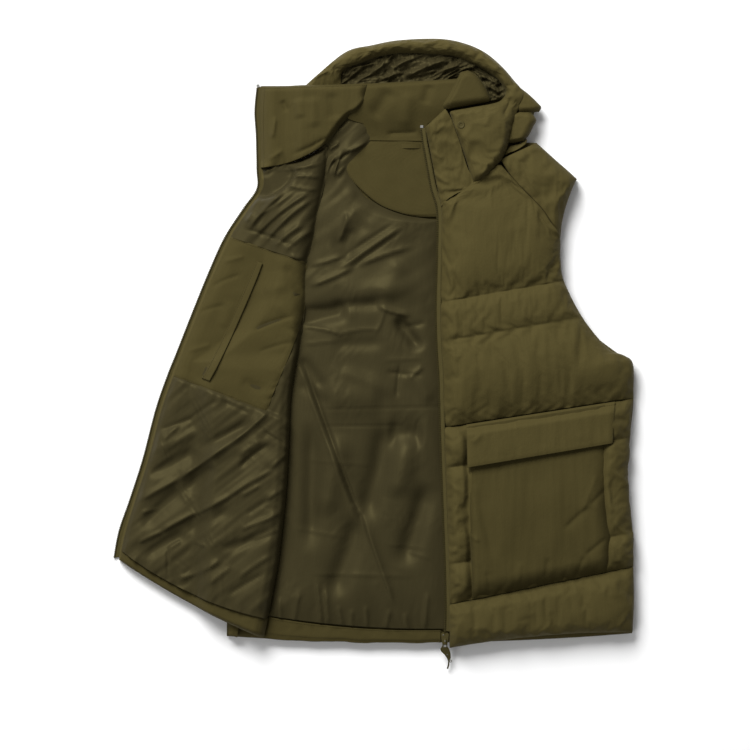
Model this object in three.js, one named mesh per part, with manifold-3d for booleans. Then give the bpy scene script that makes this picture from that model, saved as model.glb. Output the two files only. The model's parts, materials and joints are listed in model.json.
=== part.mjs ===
// A hooded, sleeveless puffer vest laid on its back with the wearer's left front closed over the back
// and the right front opened out and folded back at the side, so that its lining faces up.
// Millimetres. x runs across from the centre back line, y up from the hem, z up from the surface it lies on.
import * as THREE from "three";
import { mergeVertices } from "three/addons/utils/BufferGeometryUtils.js";
import Module from "manifold-3d";

const wasm = await Module();
wasm.setup();
const { Manifold, Mesh } = wasm;

// Driving sizes of the garment.
const BODY_THICK = 12; // the padded back, pressed flat by what lies on it
const SEAM_GAP = 0.3; // between pieces that are sewn or lie together
const LAY_GAP = 0.8; // under a cloth that follows a padded piece, so that it clears the steep parts too
const CLOTH = 1.4; // lining, facing and pocket cloth with its seam allowance
const FRONT_LOFT = 25; // the height of a full channel of the closed front
const NARROW_LOFT = 19; // the height of a narrow channel
const QUILT_LINE = 8; // what is left of the padding under a quilting line
const EDGE = 5; // a padded panel at its sewn edge
const OPEN_LOFT = 15; // the opened front's padding
const FOLD_DEPTH = 10; // the part of the opened front that stays under the fold
const HOOD_LOFT = 34; // the hood's padded front edge
const COLLAR_LOFT = 20;
const TAPE_THICK = 1.4;
const SNAP_RADIUS = 5.6;
// From the centre back and the hem to the middle of everything that is laid out.
const MIDDLE = { x: -80.95, y: 407.66 };

const INSET = 0.35; // what a piece gives up at its sewn edges, so that neighbours stay apart
const STACK = BODY_THICK + SEAM_GAP; // where the second layer starts

// Each table is read from one end of a piece to the other. A row has the piece's left and right edge there.
// bow lifts the row's middle, loft is the padding from that row on, line marks a quilting line, and at a seam the
// cloth that lies on the piece changes.
const BACK = [
  { lx: -148, ly: 704, rx: 148, ry: 704 },
  { lx: -204, ly: 654, rx: 204, ry: 654, corner: true },
  { lx: -188, ly: 616, rx: 188, ry: 616 },
  { lx: -181, ly: 567, rx: 181, ry: 567 },
  { lx: -182, ly: 525, rx: 182, ry: 525 },
  { lx: -194, ly: 483, rx: 194, ry: 483 },
  { lx: -222, ly: 441, rx: 222, ry: 441 },
  { lx: -256, ly: 413, rx: 256, ry: 413 },
  { lx: -281, ly: 397, rx: 281, ry: 397, corner: true },
  { lx: -284, ly: 346, rx: 284, ry: 346 },
  { lx: -281, ly: 290, rx: 279, ry: 291 },
  { lx: -279, ly: 228, rx: 276, ry: 226 },
  { lx: -284, ly: 165, rx: 283, ry: 157 },
  { lx: -286, ly: 110, rx: 283, ry: 110 },
  { lx: -287, ly: 12, rx: 282, ry: 16, bow: -11 },
];
const CHEST = [
  { lx: 92, ly: 669, rx: 96, ry: 671 },
  { lx: 79, ly: 660, rx: 113, ry: 652 },
  { lx: 63, ly: 646, rx: 134, ry: 630 },
  { lx: 46, ly: 634, rx: 152, ry: 611 },
  { lx: 22, ly: 622, rx: 167, ry: 589 },
  { lx: 15, ly: 610, rx: 180, ry: 571 },
  { lx: 14, ly: 545, rx: 181, ry: 541 },
  { lx: 13, ly: 480, rx: 186, ry: 510, line: true, loft: NARROW_LOFT },
  { lx: 14, ly: 425, rx: 212, ry: 459, line: true },
  { lx: 16, ly: 390, rx: 247, ry: 416 },
  { lx: 17, ly: 368, rx: 270, ry: 406 },
  { lx: 17, ly: 345, rx: 283, ry: 393 },
  { lx: 18, ly: 305, rx: 283, ry: 346 },
];
const YOKE = [
  { lx: 99, ly: 681, rx: 146, ry: 703 },
  { lx: 115, ly: 656, rx: 162, ry: 690 },
  { lx: 136, ly: 634, rx: 177, ry: 677 },
  { lx: 158, ly: 610, rx: 192, ry: 664 },
  { lx: 181, ly: 574, rx: 204, ry: 653, bow: 4 },
];
const LOWER_FRONT = [
  { lx: 18, ly: 305, rx: 283, ry: 346, loft: NARROW_LOFT },
  { lx: 20, ly: 248, rx: 279, ry: 291, line: true },
  { lx: 22, ly: 180, rx: 276, ry: 225 },
  { lx: 24, ly: 113, rx: 283, ry: 157, line: true, loft: NARROW_LOFT },
  { lx: 26, ly: 57, rx: 283, ry: 110 },
];
const HEM_BAND = [
  { lx: 26, ly: 57, rx: 283, ry: 110 },
  { lx: 27, ly: 26, rx: 284, ry: 65 },
  { lx: 27, ly: -4, rx: 282, ry: 18, bow: 6 },
];
const OPEN_FRONT = [
  { lx: -239, ly: 668, rx: -146, ry: 703, bow: -8 },
  { lx: -239, ly: 641, rx: -147, ry: 662 },
  { lx: -257, ly: 614, rx: -157, ry: 616 },
  { lx: -275, ly: 588, rx: -165, ry: 570 },
  { lx: -284, ly: 573, rx: -174, ry: 536, seam: true },
  { lx: -306, ly: 525, rx: -176, ry: 483 },
  { lx: -330, ly: 466, rx: -184, ry: 424 },
  { lx: -352, ly: 410, rx: -195, ry: 360 },
  { lx: -364, ly: 379, rx: -198, ry: 316, seam: true },
  { lx: -381, ly: 331, rx: -200, ry: 272 },
  { lx: -399, ly: 262, rx: -203, ry: 217 },
  { lx: -418, ly: 203, rx: -209, ry: 161 },
  { lx: -431, ly: 161, rx: -215, ry: 112 },
  { lx: -437, ly: 134, rx: -229, ry: 39, bow: -13, seam: true },
  { lx: -438, ly: 119, rx: -235, ry: 10, bow: -6 },
];
// Rows of OPEN_FRONT where its inside cloths change.
const OPEN_ROWS = { pocketTop: 4, pocketFoot: 8, facing: 13, hem: 14 };
// The welt of the inner pocket runs between two of OPEN_FRONT's rows. Its edge and width are shares of their length.
const WELT = { first: 4.45, last: 7.7, from: 0.41, to: 0.24, wide: 0.07 };
const UNDERLAP = [
  { lx: -278, ly: 368, rx: -246, ry: 352 },
  { lx: -280, ly: 300, rx: -248, ry: 290 },
  { lx: -276, ly: 228, rx: -250, ry: 217 },
  { lx: -281, ly: 110, rx: -258, ry: 112 },
  { lx: -284, ly: 14, rx: -272, ry: 11 },
];
const BACK_LINING = [
  { lx: -140, ly: 648, rx: -115, ry: 650 },
  { lx: -148, ly: 632, rx: -98, ry: 631 },
  { lx: -153, ly: 615, rx: -84, ry: 621 },
  { lx: -157, ly: 598, rx: -66, ry: 611 },
  { lx: -160, ly: 581, rx: -36, ry: 601 },
  { lx: -164, ly: 563, rx: 9, ry: 595, corner: true },
  { lx: -171, ly: 532, rx: 11, ry: 560 },
  { lx: -173, ly: 483, rx: 11, ry: 483 },
  { lx: -181, ly: 424, rx: 12, ry: 424 },
  { lx: -192, ly: 360, rx: 15, ry: 370 },
  { lx: -195, ly: 316, rx: 16, ry: 316 },
  { lx: -197, ly: 272, rx: 17, ry: 272 },
  { lx: -200, ly: 217, rx: 19, ry: 217 },
  { lx: -206, ly: 161, rx: 21, ry: 161 },
  { lx: -212, ly: 112, rx: 23, ry: 112 },
  { lx: -225, ly: 41, rx: 24, ry: 23, bow: -6 },
];
const NECK_FACING = [
  { lx: -92, ly: 705, rx: -11, ry: 704 },
  { lx: -124, ly: 675, rx: -6, ry: 680, corner: true },
  { lx: -111, ly: 654, rx: -1, ry: 656 },
  { lx: -94, ly: 636, rx: 2, ry: 638 },
  { lx: -70, ly: 617, rx: 5, ry: 618 },
  { lx: -42, ly: 606, rx: 8, ry: 608 },
  { lx: -16, ly: 600, rx: 9, ry: 600 },
];
const BACK_HEM_FACING = [
  { lx: -226, ly: 39, rx: 11, ry: 21, bow: -6 },
  { lx: -232, ly: 8, rx: 11, ry: 4, bow: -2 },
];
const SHOULDER_LINING = [
  { lx: -110, ly: 728, rx: -90, ry: 727 },
  { lx: -127, ly: 715, rx: -90, ry: 716 },
  { lx: -142, ly: 702, rx: -97, ry: 704 },
  { lx: -143, ly: 688, rx: -114, ry: 689 },
  { lx: -143, ly: 672, rx: -127, ry: 674 },
  { lx: -143, ly: 652, rx: -116, ry: 654 },
];
const COLLAR_RIGHT = [
  { lx: -239, ly: 784, rx: -84, ry: 787, bow: -1 },
  { lx: -241, ly: 749, rx: -93, ry: 757 },
  { lx: -240, ly: 715, rx: -112, ry: 743 },
  { lx: -239, ly: 692, rx: -128, ry: 725 },
  { lx: -239, ly: 669, rx: -145, ry: 704.5, bow: -8 },
];
const COLLAR_BACK = [
  { lx: -81, ly: 787, rx: 34, ry: 793 },
  { lx: -90, ly: 758, rx: 20, ry: 770 },
  { lx: -106, ly: 744, rx: 13, ry: 754, corner: true },
  { lx: -108, ly: 737, rx: -2, ry: 740 },
  { lx: -87, ly: 730, rx: -17, ry: 730, corner: true },
  { lx: -87, ly: 718, rx: -20, ry: 718 },
  { lx: -93, ly: 707, rx: -19, ry: 706 },
];
const COLLAR_TURN = [
  { lx: 42, ly: 802, rx: 50, ry: 804 },
  { lx: 34, ly: 787, rx: 63, ry: 796 },
  { lx: 26, ly: 771, rx: 74, ry: 781 },
  { lx: 17, ly: 755, rx: 81, ry: 764 },
  { lx: 23, ly: 750, rx: 78, ry: 760 },
];
const COLLAR_LEFT = [
  { lx: -9, ly: 725, rx: 17, ry: 749 },
  { lx: -4.5, ly: 705, rx: 26.5, ry: 733 },
  { lx: 0.5, ly: 680, rx: 38, ry: 700 },
  { lx: 6, ly: 652, rx: 47.5, ry: 668 },
  { lx: 10, ly: 632, rx: 55, ry: 651 },
  { lx: 14.5, ly: 617, rx: 40, ry: 635, bow: 3 },
];
// The padded band round the face, from its hidden end over the top to the snap. The left edge is the inner one.
const HOOD_FRONT = [
  { lx: -134, ly: 791, rx: -174, ry: 788 },
  { lx: -123, ly: 804, rx: -158, ry: 801 },
  { lx: -97, ly: 816, rx: -119, ry: 832 },
  { lx: -70, ly: 825, rx: -83, ry: 841 },
  { lx: -38, ly: 829, rx: -45, ry: 848 },
  { lx: 8, ly: 827, rx: 10, ry: 850 },
  { lx: 35, ly: 824, rx: 45, ry: 844 },
  { lx: 60, ly: 813, rx: 75, ry: 831 },
  { lx: 84, ly: 799, rx: 100, ry: 810 },
  { lx: 99, ly: 785, rx: 119, ry: 787 },
  { lx: 104, ly: 773, rx: 130, ry: 768 },
  { lx: 96, ly: 762, rx: 121, ry: 750 },
  { lx: 80, ly: 757, rx: 116, ry: 733 },
  { lx: 54, ly: 752, rx: 112, ry: 718 },
  { lx: 25, ly: 747, rx: 107, ry: 703, corner: true },
  { lx: 31, ly: 728, rx: 102, ry: 692 },
  { lx: 41, ly: 700, rx: 95, ry: 681 },
  { lx: 51, ly: 670, rx: 87, ry: 672 },
  { lx: 60, ly: 649, rx: 77, ry: 662 },
];
const SNAP = { x: 41, y: 727 };
const HOOD_SIDE = [
  { lx: 133, ly: 767, rx: 136, ry: 773 },
  { lx: 126, ly: 757, rx: 148, ry: 761 },
  { lx: 124, ly: 751, rx: 151, ry: 753 },
  { lx: 129, ly: 747, rx: 143, ry: 746 },
];
const HOOD_NECK = [
  { lx: 121, ly: 743, rx: 131, ry: 745 },
  { lx: 118, ly: 735, rx: 139, ry: 736 },
  { lx: 115, ly: 725, rx: 140, ry: 725 },
  { lx: 111, ly: 713, rx: 136, ry: 714 },
  { lx: 108, ly: 702, rx: 127, ry: 706 },
];
const NECK_ROLL = [
  { lx: 98, ly: 684, rx: 104, ry: 694 },
  { lx: 107, ly: 688, rx: 110, ry: 699 },
  { lx: 121, ly: 694, rx: 124, ry: 703 },
  { lx: 133, ly: 702, rx: 134, ry: 709 },
];
const HOOD_BACK = [
  { lx: -60, ly: 837, rx: 45, ry: 837 },
  { lx: -112, ly: 824, rx: 76, ry: 824 },
  { lx: -150, ly: 802, rx: 105, ry: 802 },
  { lx: -170, ly: 786, rx: 125, ry: 780 },
  { lx: -168, ly: 765, rx: 146, ry: 757 },
  { lx: -130, ly: 738, rx: 139, ry: 733 },
  { lx: -100, ly: 705, rx: 132, ry: 705 },
];
// The crumpled inside of the hood, from its left tip round to the right. The left edge is the collar's side.
const HOOD_LINING = [
  { lx: -125, ly: 790, rx: -124, ry: 798 },
  { lx: -112, ly: 790, rx: -111, ry: 806 },
  { lx: -92, ly: 790, rx: -93, ry: 813 },
  { lx: -70, ly: 790, rx: -69, ry: 822 },
  { lx: -38, ly: 793, rx: -38, ry: 826 },
  { lx: 8, ly: 796, rx: 8, ry: 824 },
  { lx: 34, ly: 802, rx: 34, ry: 821 },
  { lx: 52, ly: 809, rx: 57, ry: 811 },
  { lx: 68, ly: 800, rx: 80, ry: 797 },
  { lx: 79, ly: 785, rx: 95, ry: 784 },
  { lx: 84.5, ly: 770, rx: 100, ry: 774 },
  { lx: 85.5, ly: 763, rx: 93, ry: 764 },
];
// The zip's two edges: the row of teeth, and the seam that holds the tape.
const ZIP_LEFT = [
  { lx: -15.5, ly: 723, rx: -10, ry: 724 },
  { lx: -13, ly: 704, rx: -8, ry: 705 },
  { lx: -8.5, ly: 679, rx: -3, ry: 680 },
  { lx: -1.5, ly: 641, rx: 4.5, ry: 642 },
  { lx: 7, ly: 608, rx: 13.5, ry: 610 },
  { lx: 7, ly: 545, rx: 13, ry: 545 },
  { lx: 5, ly: 480, rx: 12, ry: 480 },
  { lx: 6, ly: 425, rx: 13, ry: 425 },
  { lx: 9, ly: 374, rx: 16, ry: 374 },
  { lx: 11, ly: 305, rx: 17, ry: 305 },
  { lx: 13, ly: 244, rx: 19, ry: 244 },
  { lx: 15.5, ly: 177, rx: 21.5, ry: 177 },
  { lx: 18, ly: 111, rx: 24, ry: 111 },
  { lx: 19, ly: 57, rx: 25, ry: 57 },
  { lx: 18, ly: 20, rx: 26, ry: 19 },
];
const ZIP_RIGHT = [
  { lx: -245, ly: 782, rx: -240, ry: 783 },
  { lx: -248, ly: 749, rx: -242, ry: 749 },
  { lx: -246, ly: 715, rx: -241, ry: 715 },
  { lx: -245, ly: 668, rx: -240, ry: 668 },
  { lx: -245, ly: 640, rx: -240, ry: 641 },
  { lx: -264, ly: 612, rx: -258.5, ry: 614 },
  { lx: -290, ly: 572, rx: -285, ry: 573 },
  { lx: -312, ly: 524, rx: -307, ry: 525 },
  { lx: -336, ly: 465, rx: -331, ry: 466 },
  { lx: -358, ly: 409, rx: -353, ry: 410 },
  { lx: -370.5, ly: 378, rx: -365, ry: 379 },
  { lx: -387, ly: 330, rx: -382, ry: 331 },
  { lx: -405, ly: 261, rx: -400, ry: 262 },
  { lx: -424, ly: 202, rx: -419, ry: 203 },
  { lx: -438.5, ly: 160, rx: -433.5, ry: 161 },
  { lx: -446, ly: 121, rx: -441, ry: 122 },
];

// The largest folds of the linings: both ends, half width, height, and how far the middle bows to the left.
const OPEN_UPPER_FOLDS = [
  { x0: -262, y0: 598, x1: -190, y1: 648, wide: 8, high: 7, bow: 4 },
  { x0: -276, y0: 572, x1: -168, y1: 640, wide: 9, high: 8, bow: 3 },
  { x0: -240, y0: 556, x1: -166, y1: 606, wide: 8, high: 7, bow: 4 },
  { x0: -232, y0: 652, x1: -160, y1: 668, wide: 8, high: 6, bow: 2 },
];
const OPEN_LOWER_FOLDS = [
  { x0: -352, y0: 330, x1: -222, y1: 352, wide: 11, high: -4, bow: -8 },
  { x0: -395, y0: 262, x1: -215, y1: 338, wide: 13, high: 7, bow: -12 },
  { x0: -400, y0: 210, x1: -222, y1: 296, wide: 12, high: 6, bow: -10 },
  { x0: -418, y0: 158, x1: -226, y1: 232, wide: 13, high: 7, bow: -12 },
  { x0: -386, y0: 128, x1: -232, y1: 178, wide: 12, high: 5, bow: -8 },
  { x0: -330, y0: 74, x1: -236, y1: 130, wide: 11, high: 5, bow: -6 },
];
const BACK_FOLDS = [
  { x0: -142, y0: 640, x1: -170, y1: 528, wide: 9, high: 5, bow: -6 },
  { x0: -120, y0: 600, x1: -138, y1: 548, wide: 7, high: 4, bow: 4 },
  { x0: -160, y0: 520, x1: -24, y1: 590, wide: 7, high: 4, bow: -3 },
  { x0: -176, y0: 494, x1: 0, y1: 540, wide: 8, high: 3.5, bow: 3 },
  { x0: -172, y0: 452, x1: -80, y1: 440, wide: 10, high: 4, bow: -10 },
  { x0: -78, y0: 432, x1: -14, y1: 398, wide: 10, high: 4, bow: 6 },
  { x0: -190, y0: 400, x1: -60, y1: 84, wide: 7, high: 5.5, bow: -10 },
  { x0: -60, y0: 210, x1: -20, y1: 60, wide: 8, high: 4, bow: 6 },
  { x0: -20, y0: 330, x1: -70, y1: 150, wide: 16, high: 4, bow: 10 },
  { x0: -150, y0: 120, x1: -142, y1: 30, wide: 7, high: 4, bow: 2 },
  { x0: -186, y0: 250, x1: -196, y1: 60, wide: 9, high: 4, bow: 2 },
  { x0: 0, y0: 240, x1: 2, y1: 50, wide: 8, high: 3, bow: 2 },
];
const HOOD_FOLDS = [
  { x0: -108, y0: 792, x1: -92, y1: 812, wide: 6, high: 6, bow: 2 },
  { x0: -88, y0: 806, x1: -50, y1: 812, wide: 6, high: 7, bow: 3 },
  { x0: -52, y0: 794, x1: -34, y1: 806, wide: 5, high: 6, bow: -2 },
  { x0: -20, y0: 798, x1: 14, y1: 812, wide: 6, high: 7, bow: 3 },
  { x0: 12, y0: 800, x1: 40, y1: 818, wide: 6, high: 6, bow: -3 },
  { x0: 72, y0: 792, x1: 92, y1: 778, wide: 5, high: 6, bow: 2 },
];

const clamp = (value, low = 0, high = 1) => Math.min(high, Math.max(low, value));
const mix = (a, b, t) => a + (b - a) * t;

function smooth(t) {
  const c = clamp(t);
  return c * c * (3 - 2 * c);
}

// 0 at a sewn edge, rising like a quarter of an ellipse to 1 at that distance from it.
function dome(distance, reach) {
  const rest = 1 - clamp(distance / reach);
  return Math.sqrt(1 - rest * rest);
}

// A point of a table's left or right edge, on a Catmull-Rom curve that stops and starts again at a corner.
function onEdge(rows, t, side) {
  const i = Math.min(Math.floor(t), rows.length - 2);
  const f = t - i;
  const before = rows[i].corner || i === 0 ? rows[i] : rows[i - 1];
  const after = rows[i + 1].corner || i + 2 === rows.length ? rows[i + 1] : rows[i + 2];
  const blend = (axis) => {
    const key = side + axis;
    const [a, b, c, d] = [before[key], rows[i][key], rows[i + 1][key], after[key]];
    return b + (f / 2) * (c - a + f * (2 * a - 5 * b + 4 * c - d + f * (3 * (b - c) + d - a)));
  };
  return { x: blend("x"), y: blend("y") };
}

function edgesAt(rows, t) {
  const l = onEdge(rows, t, "l");
  const r = onEdge(rows, t, "r");
  return { l, r, width: Math.hypot(r.x - l.x, r.y - l.y) };
}

// The point of a piece at row t and share u of the way from its left to its right edge.
function pointOn(rows, t, u) {
  const { l, r, width } = edgesAt(rows, t);
  const i = Math.min(Math.floor(t), rows.length - 2);
  const bow = mix(rows[i].bow ?? 0, rows[i + 1].bow ?? 0, t - i);
  const lift = (4 * u * (1 - u) * bow) / width;
  return { x: mix(l.x, r.x, u) - (r.y - l.y) * lift, y: mix(l.y, r.y, u) + (r.x - l.x) * lift };
}

// How far apart two rows are, along the middle of the piece.
function rowLength(rows, from, to) {
  const a = pointOn(rows, from, 0.5);
  const b = pointOn(rows, to, 0.5);
  return Math.hypot(a.x - b.x, a.y - b.y);
}

// Shares of a length, close together near an end that is sewn down and cell apart elsewhere.
function shares(length, cell, tightStart, tightEnd) {
  const near = [1.2, 5.5].filter((d) => d < length * 0.4);
  if (near.length) near.push(near.at(-1) * 2);
  const from = tightStart ? near[near.length - 1] ?? 0 : 0;
  const to = length - (tightEnd ? near[near.length - 1] ?? 0 : 0);
  const steps = Math.max(1, Math.round((to - from) / cell));
  const places = Array.from({ length: steps + 1 }, (_, k) => mix(from, to, k / steps));
  const start = tightStart && from > 0 ? [0, ...near.slice(0, -1)] : [];
  const end = tightEnd && to < length ? [...near.slice(0, -1).map((d) => length - d).reverse(), length] : [];
  return [...start, ...places, ...end].map((d) => d / length);
}

// The grid of a piece between two rows of its table. Each point knows how far it is from the piece's edges and,
// along the piece, from the quilting lines on both sides of it.
function gridOf(rows, { cell, across: cellAcross = cell, tight = true, columns }) {
  const inset = INSET;
  const last = rows.length - 1;
  const lines = [];
  for (let i = 0; i < last; i++) {
    const sewn = [tight && (i === 0 || rows[i].line), tight && (i + 1 === last || rows[i + 1].line)];
    const length = rowLength(rows, i, i + 1);
    const span = shares(length, cell, Boolean(sewn[0]), Boolean(sewn[1])).slice(0, -1);
    if (rows[i].seam) span.splice(0, 1, -inset / length, inset / length);
    if (i === 0) span[0] = inset / length;
    lines.push(...span.map((s) => i + s));
  }
  lines.push(last - inset / rowLength(rows, last - 1, last));
  const widest = Math.max(...lines.map((t) => edgesAt(rows, t).width));
  const across = columns ?? shares(widest, cellAcross, tight, tight);
  const stops = rows.map((row, i) => i).filter((i) => i === 0 || i === last || rows[i].line);
  return lines.map((t) => {
    const start = Math.max(...stops.filter((s) => s <= t));
    const end = Math.min(...stops.filter((s) => s > t));
    const { width } = edgesAt(rows, t);
    const rim = inset / width;
    return across.map((share) => {
      const u = clamp(share, rim, 1 - rim);
      return {
        ...pointOn(rows, t, u),
        u,
        t,
        left: u * width,
        right: (1 - u) * width,
        above: rowLength(rows, start, t),
        below: rowLength(rows, t, end),
        loft: rows[start].loft,
      };
    });
  });
}

// Triangles between two neighbouring rows of points. Where only one of them has points along its middle, they
// fan out from the other's two ends.
function between(a, b) {
  const faces = [];
  if (a.length === b.length) {
    for (let i = 0; i + 1 < a.length; i++) faces.push(a[i], b[i], b[i + 1], a[i], b[i + 1], a[i + 1]);
    return faces;
  }
  const [full, ends, turn] = a.length > b.length ? [a, b, 1] : [b, a, -1];
  const half = full.length >> 1;
  const face = (p, q, r) => faces.push(...(turn > 0 ? [p, q, r] : [p, r, q]));
  for (let i = 0; i + 1 < full.length; i++) face(full[i], ends[i < half ? 0 : 1], full[i + 1]);
  face(full[half], ends[0], ends[1]);
  return faces;
}

// A closed wall between an upper and a lower surface over one grid. A number as lower makes a flat underside.
function wall(grid, upper, lower) {
  const last = { row: grid.length - 1, column: grid[0].length - 1 };
  const flat = typeof lower === "number";
  const spots = [];
  const put = (p, z) => spots.push(p.x, p.y, z) / 3 - 1;
  const top = grid.map((row) => row.map((p) => put(p, upper(p))));
  const base = grid.map((row, j) => {
    const kept = flat && j > 0 && j < last.row ? [row[0], row[last.column]] : row;
    return kept.map((p) => put(p, flat ? lower : lower(p)));
  });
  const faces = [];
  for (let j = 0; j < last.row; j++) {
    faces.push(...between(top[j], top[j + 1]));
    faces.push(...between(base[j], base[j + 1]).reverse());
    const [near, far] = [base[j], base[j + 1]];
    faces.push(...between([top[j + 1][0], far[0]], [top[j][0], near[0]]));
    faces.push(...between([top[j][last.column], near.at(-1)], [top[j + 1][last.column], far.at(-1)]));
  }
  faces.push(...between(base[0], top[0]));
  faces.push(...between(top[last.row], base[last.row]));
  const geometry = new THREE.BufferGeometry();
  geometry.setAttribute("position", new THREE.Float32BufferAttribute(spots, 3));
  geometry.setIndex(faces);
  return faceOut(geometry);
}

// Turns every face round if the body is inside out.
function faceOut(geometry) {
  const p = geometry.getAttribute("position");
  const index = geometry.getIndex().array;
  const [a, b, c] = [new THREE.Vector3(), new THREE.Vector3(), new THREE.Vector3()];
  let volume = 0;
  for (let k = 0; k < index.length; k += 3) {
    a.fromBufferAttribute(p, index[k]);
    b.fromBufferAttribute(p, index[k + 1]);
    c.fromBufferAttribute(p, index[k + 2]);
    volume += a.dot(b.cross(c));
  }
  if (volume < 0) {
    for (let k = 0; k < index.length; k += 3) [index[k + 1], index[k + 2]] = [index[k + 2], index[k + 1]];
  }
  geometry.computeVertexNormals();
  return geometry;
}

// The height of a padded piece: edge at its sewn edges and quilting lines, and loft in the middle of a channel.
function padded(p, { loft, edge = EDGE, line = edge, reach = 22, side = reach }) {
  const across = dome(p.left, side) * dome(p.right, side);
  const along = dome(Math.min(p.above, p.below), reach);
  return edge + (line - edge) * across * (1 - along) + ((p.loft ?? loft) - edge) * across * along;
}

// What the folds in a table add at a point: a rounded ridge, or a trough, that fades out at both ends.
function foldsAt(table, p) {
  return table.reduce((sum, f) => {
    const dx = f.x1 - f.x0;
    const dy = f.y1 - f.y0;
    const length = Math.hypot(dx, dy);
    const t = ((p.x - f.x0) * dx + (p.y - f.y0) * dy) / length ** 2;
    if (t < 0 || t > 1) return sum;
    const off = ((p.y - f.y0) * dx - (p.x - f.x0) * dy) / length - 4 * f.bow * t * (1 - t);
    return sum + f.high * smooth(t / 0.2) * smooth((1 - t) / 0.2) * Math.exp(-((off / f.wide) ** 2));
  }, 0);
}

// One closed body from several that overlap.
function united(geometries) {
  const solids = geometries.map((geometry) => {
    geometry.deleteAttribute("normal");
    geometry.deleteAttribute("uv");
    const merged = mergeVertices(geometry, 1e-4);
    return new Manifold(new Mesh({
      numProp: 3,
      vertProperties: new Float32Array(merged.getAttribute("position").array),
      triVerts: new Uint32Array(merged.getIndex().array),
    }));
  });
  const mesh = Manifold.union(solids).getMesh();
  const geometry = new THREE.BufferGeometry();
  geometry.setAttribute("position", new THREE.BufferAttribute(new Float32Array(mesh.vertProperties), 3));
  geometry.setIndex(new THREE.BufferAttribute(new Uint32Array(mesh.triVerts), 1));
  return geometry;
}

// Where a table's edge is at a height y, as x.
function edgeAt(rows, side, y) {
  const key = side + "y";
  const passed = rows.filter((row) => row[key] > y).length;
  const i = clamp(passed - 1, 0, rows.length - 2);
  const f = clamp((rows[i][key] - y) / (rows[i][key] - rows[i + 1][key]));
  return mix(rows[i][side + "x"], rows[i + 1][side + "x"], f);
}

// The opened front leaves the surface to climb over the back's edge, and then over its own part under the fold.
function underOpenFront(p) {
  const back = edgeAt(BACK, "l", p.y);
  const fold = edgeAt(OPEN_FRONT, "r", p.y);
  const climb = (STACK + 0.5) * smooth((p.x - back + 56) / 34);
  const tucked = smooth((410 - p.y) / 26) * smooth((p.x - back + 48) / 30);
  const beforeFold = 1 - smooth((p.x - fold + 16) / 14);
  return climb + (FOLD_DEPTH + 2) * tucked * beforeFold;
}

const underCollar = (p) => (STACK + 0.2) * smooth((p.x + 206) / 28);

function openFrontTop(p) {
  const ends = dome(p.above + 3, 20) * dome(p.below + 3, 14);
  const fold = edgeAt(OPEN_FRONT, "r", p.y);
  const roll = dome(p.right + 1, 26);
  const zip = dome(p.left + 2, 22);
  const rise = smooth((p.x - fold + 60) / 50) * 3;
  return Math.max(underOpenFront(p) + 2.5, 4 + (underOpenFront(p) + OPEN_LOFT + rise - 4) * ends * roll * zip);
}

const group = new THREE.Group();
group.name = "puffer_vest";
group.position.set(-MIDDLE.x, -MIDDLE.y, 0);

const CLOTHS = {
  shell: { color: 0x504829, roughness: 0.82 },
  lining: { color: 0x45402a, roughness: 0.45 },
  facing: { color: 0x4e472a, roughness: 0.85 },
  tape: { color: 0x4a4630, roughness: 0.9 },
  metal: { color: 0xb9b6ad, roughness: 0.3, metalness: 1 },
  lacquer: { color: 0x4c4930, roughness: 0.4, metalness: 0.3 },
};

function add(name, cloth, geometry) {
  const mesh = new THREE.Mesh(geometry, new THREE.MeshStandardMaterial(CLOTHS[cloth]));
  mesh.name = name;
  group.add(mesh);
  return mesh;
}

function addBack() {
  const grid = gridOf(BACK, { cell: 90 });
  const seam = 5; // the edge's seam is this far above the surface
  const rise = (p) => seam * (1 - dome(Math.min(p.left, p.right, p.above + 8, p.below), 9));
  const hem = (p) => (p.below < 9 ? (BODY_THICK - seam - 3) * (1 - dome(p.below, 9)) : 0);
  add("back_shell", "shell", wall(grid, (p) => BODY_THICK - hem(p), rise));

  const lining = gridOf(BACK_LINING, { cell: 15, tight: false });
  const calm = (p) => smooth((p.right - 4) / 14) * smooth(p.left / 6);
  const swell = (p) => 1.5 * Math.sin(p.y / 26) * Math.sin(p.x / 31);
  const top = (p) => Math.max(STACK + CLOTH, STACK + 3 + calm(p) * (foldsAt(BACK_FOLDS, p) + swell(p)));
  add("back_lining", "lining", wall(lining, top, STACK));
  add("back_neck_facing", "facing", wall(gridOf(NECK_FACING, { cell: 16, tight: false }), () => STACK + 3, STACK));
  const hemTop = (p) => STACK + 3.4 - 1.6 * smooth((10 - p.below) / 10) + 0.5 * Math.sin(p.x / 9);
  const clear = gridOf(BACK_HEM_FACING, { cell: 10, tight: false });
  add("back_hem_facing", "facing", wall(clear, hemTop, STACK));
}

function addHangerLoop() {
  const shape = new THREE.Shape();
  const [length, rise, thick] = [30, 3.4, 1.2];
  shape.moveTo(0, 0);
  shape.lineTo(0, thick);
  shape.quadraticCurveTo(length / 2, 2 * rise, length, thick);
  shape.lineTo(length, 0);
  shape.quadraticCurveTo(length / 2, 2 * rise - 2 * thick, 0, 0);
  const strap = new THREE.ExtrudeGeometry(shape, { depth: 6, bevelEnabled: false, curveSegments: 8 });
  strap.rotateX(Math.PI / 2);
  strap.translate(-44, 702, STACK + 3 + SEAM_GAP);
  add("hanger_loop", "facing", strap);
}

const POCKET_EDGE = { left: 0.115, right: 0.88, flapRight: 0.905 };

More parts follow.
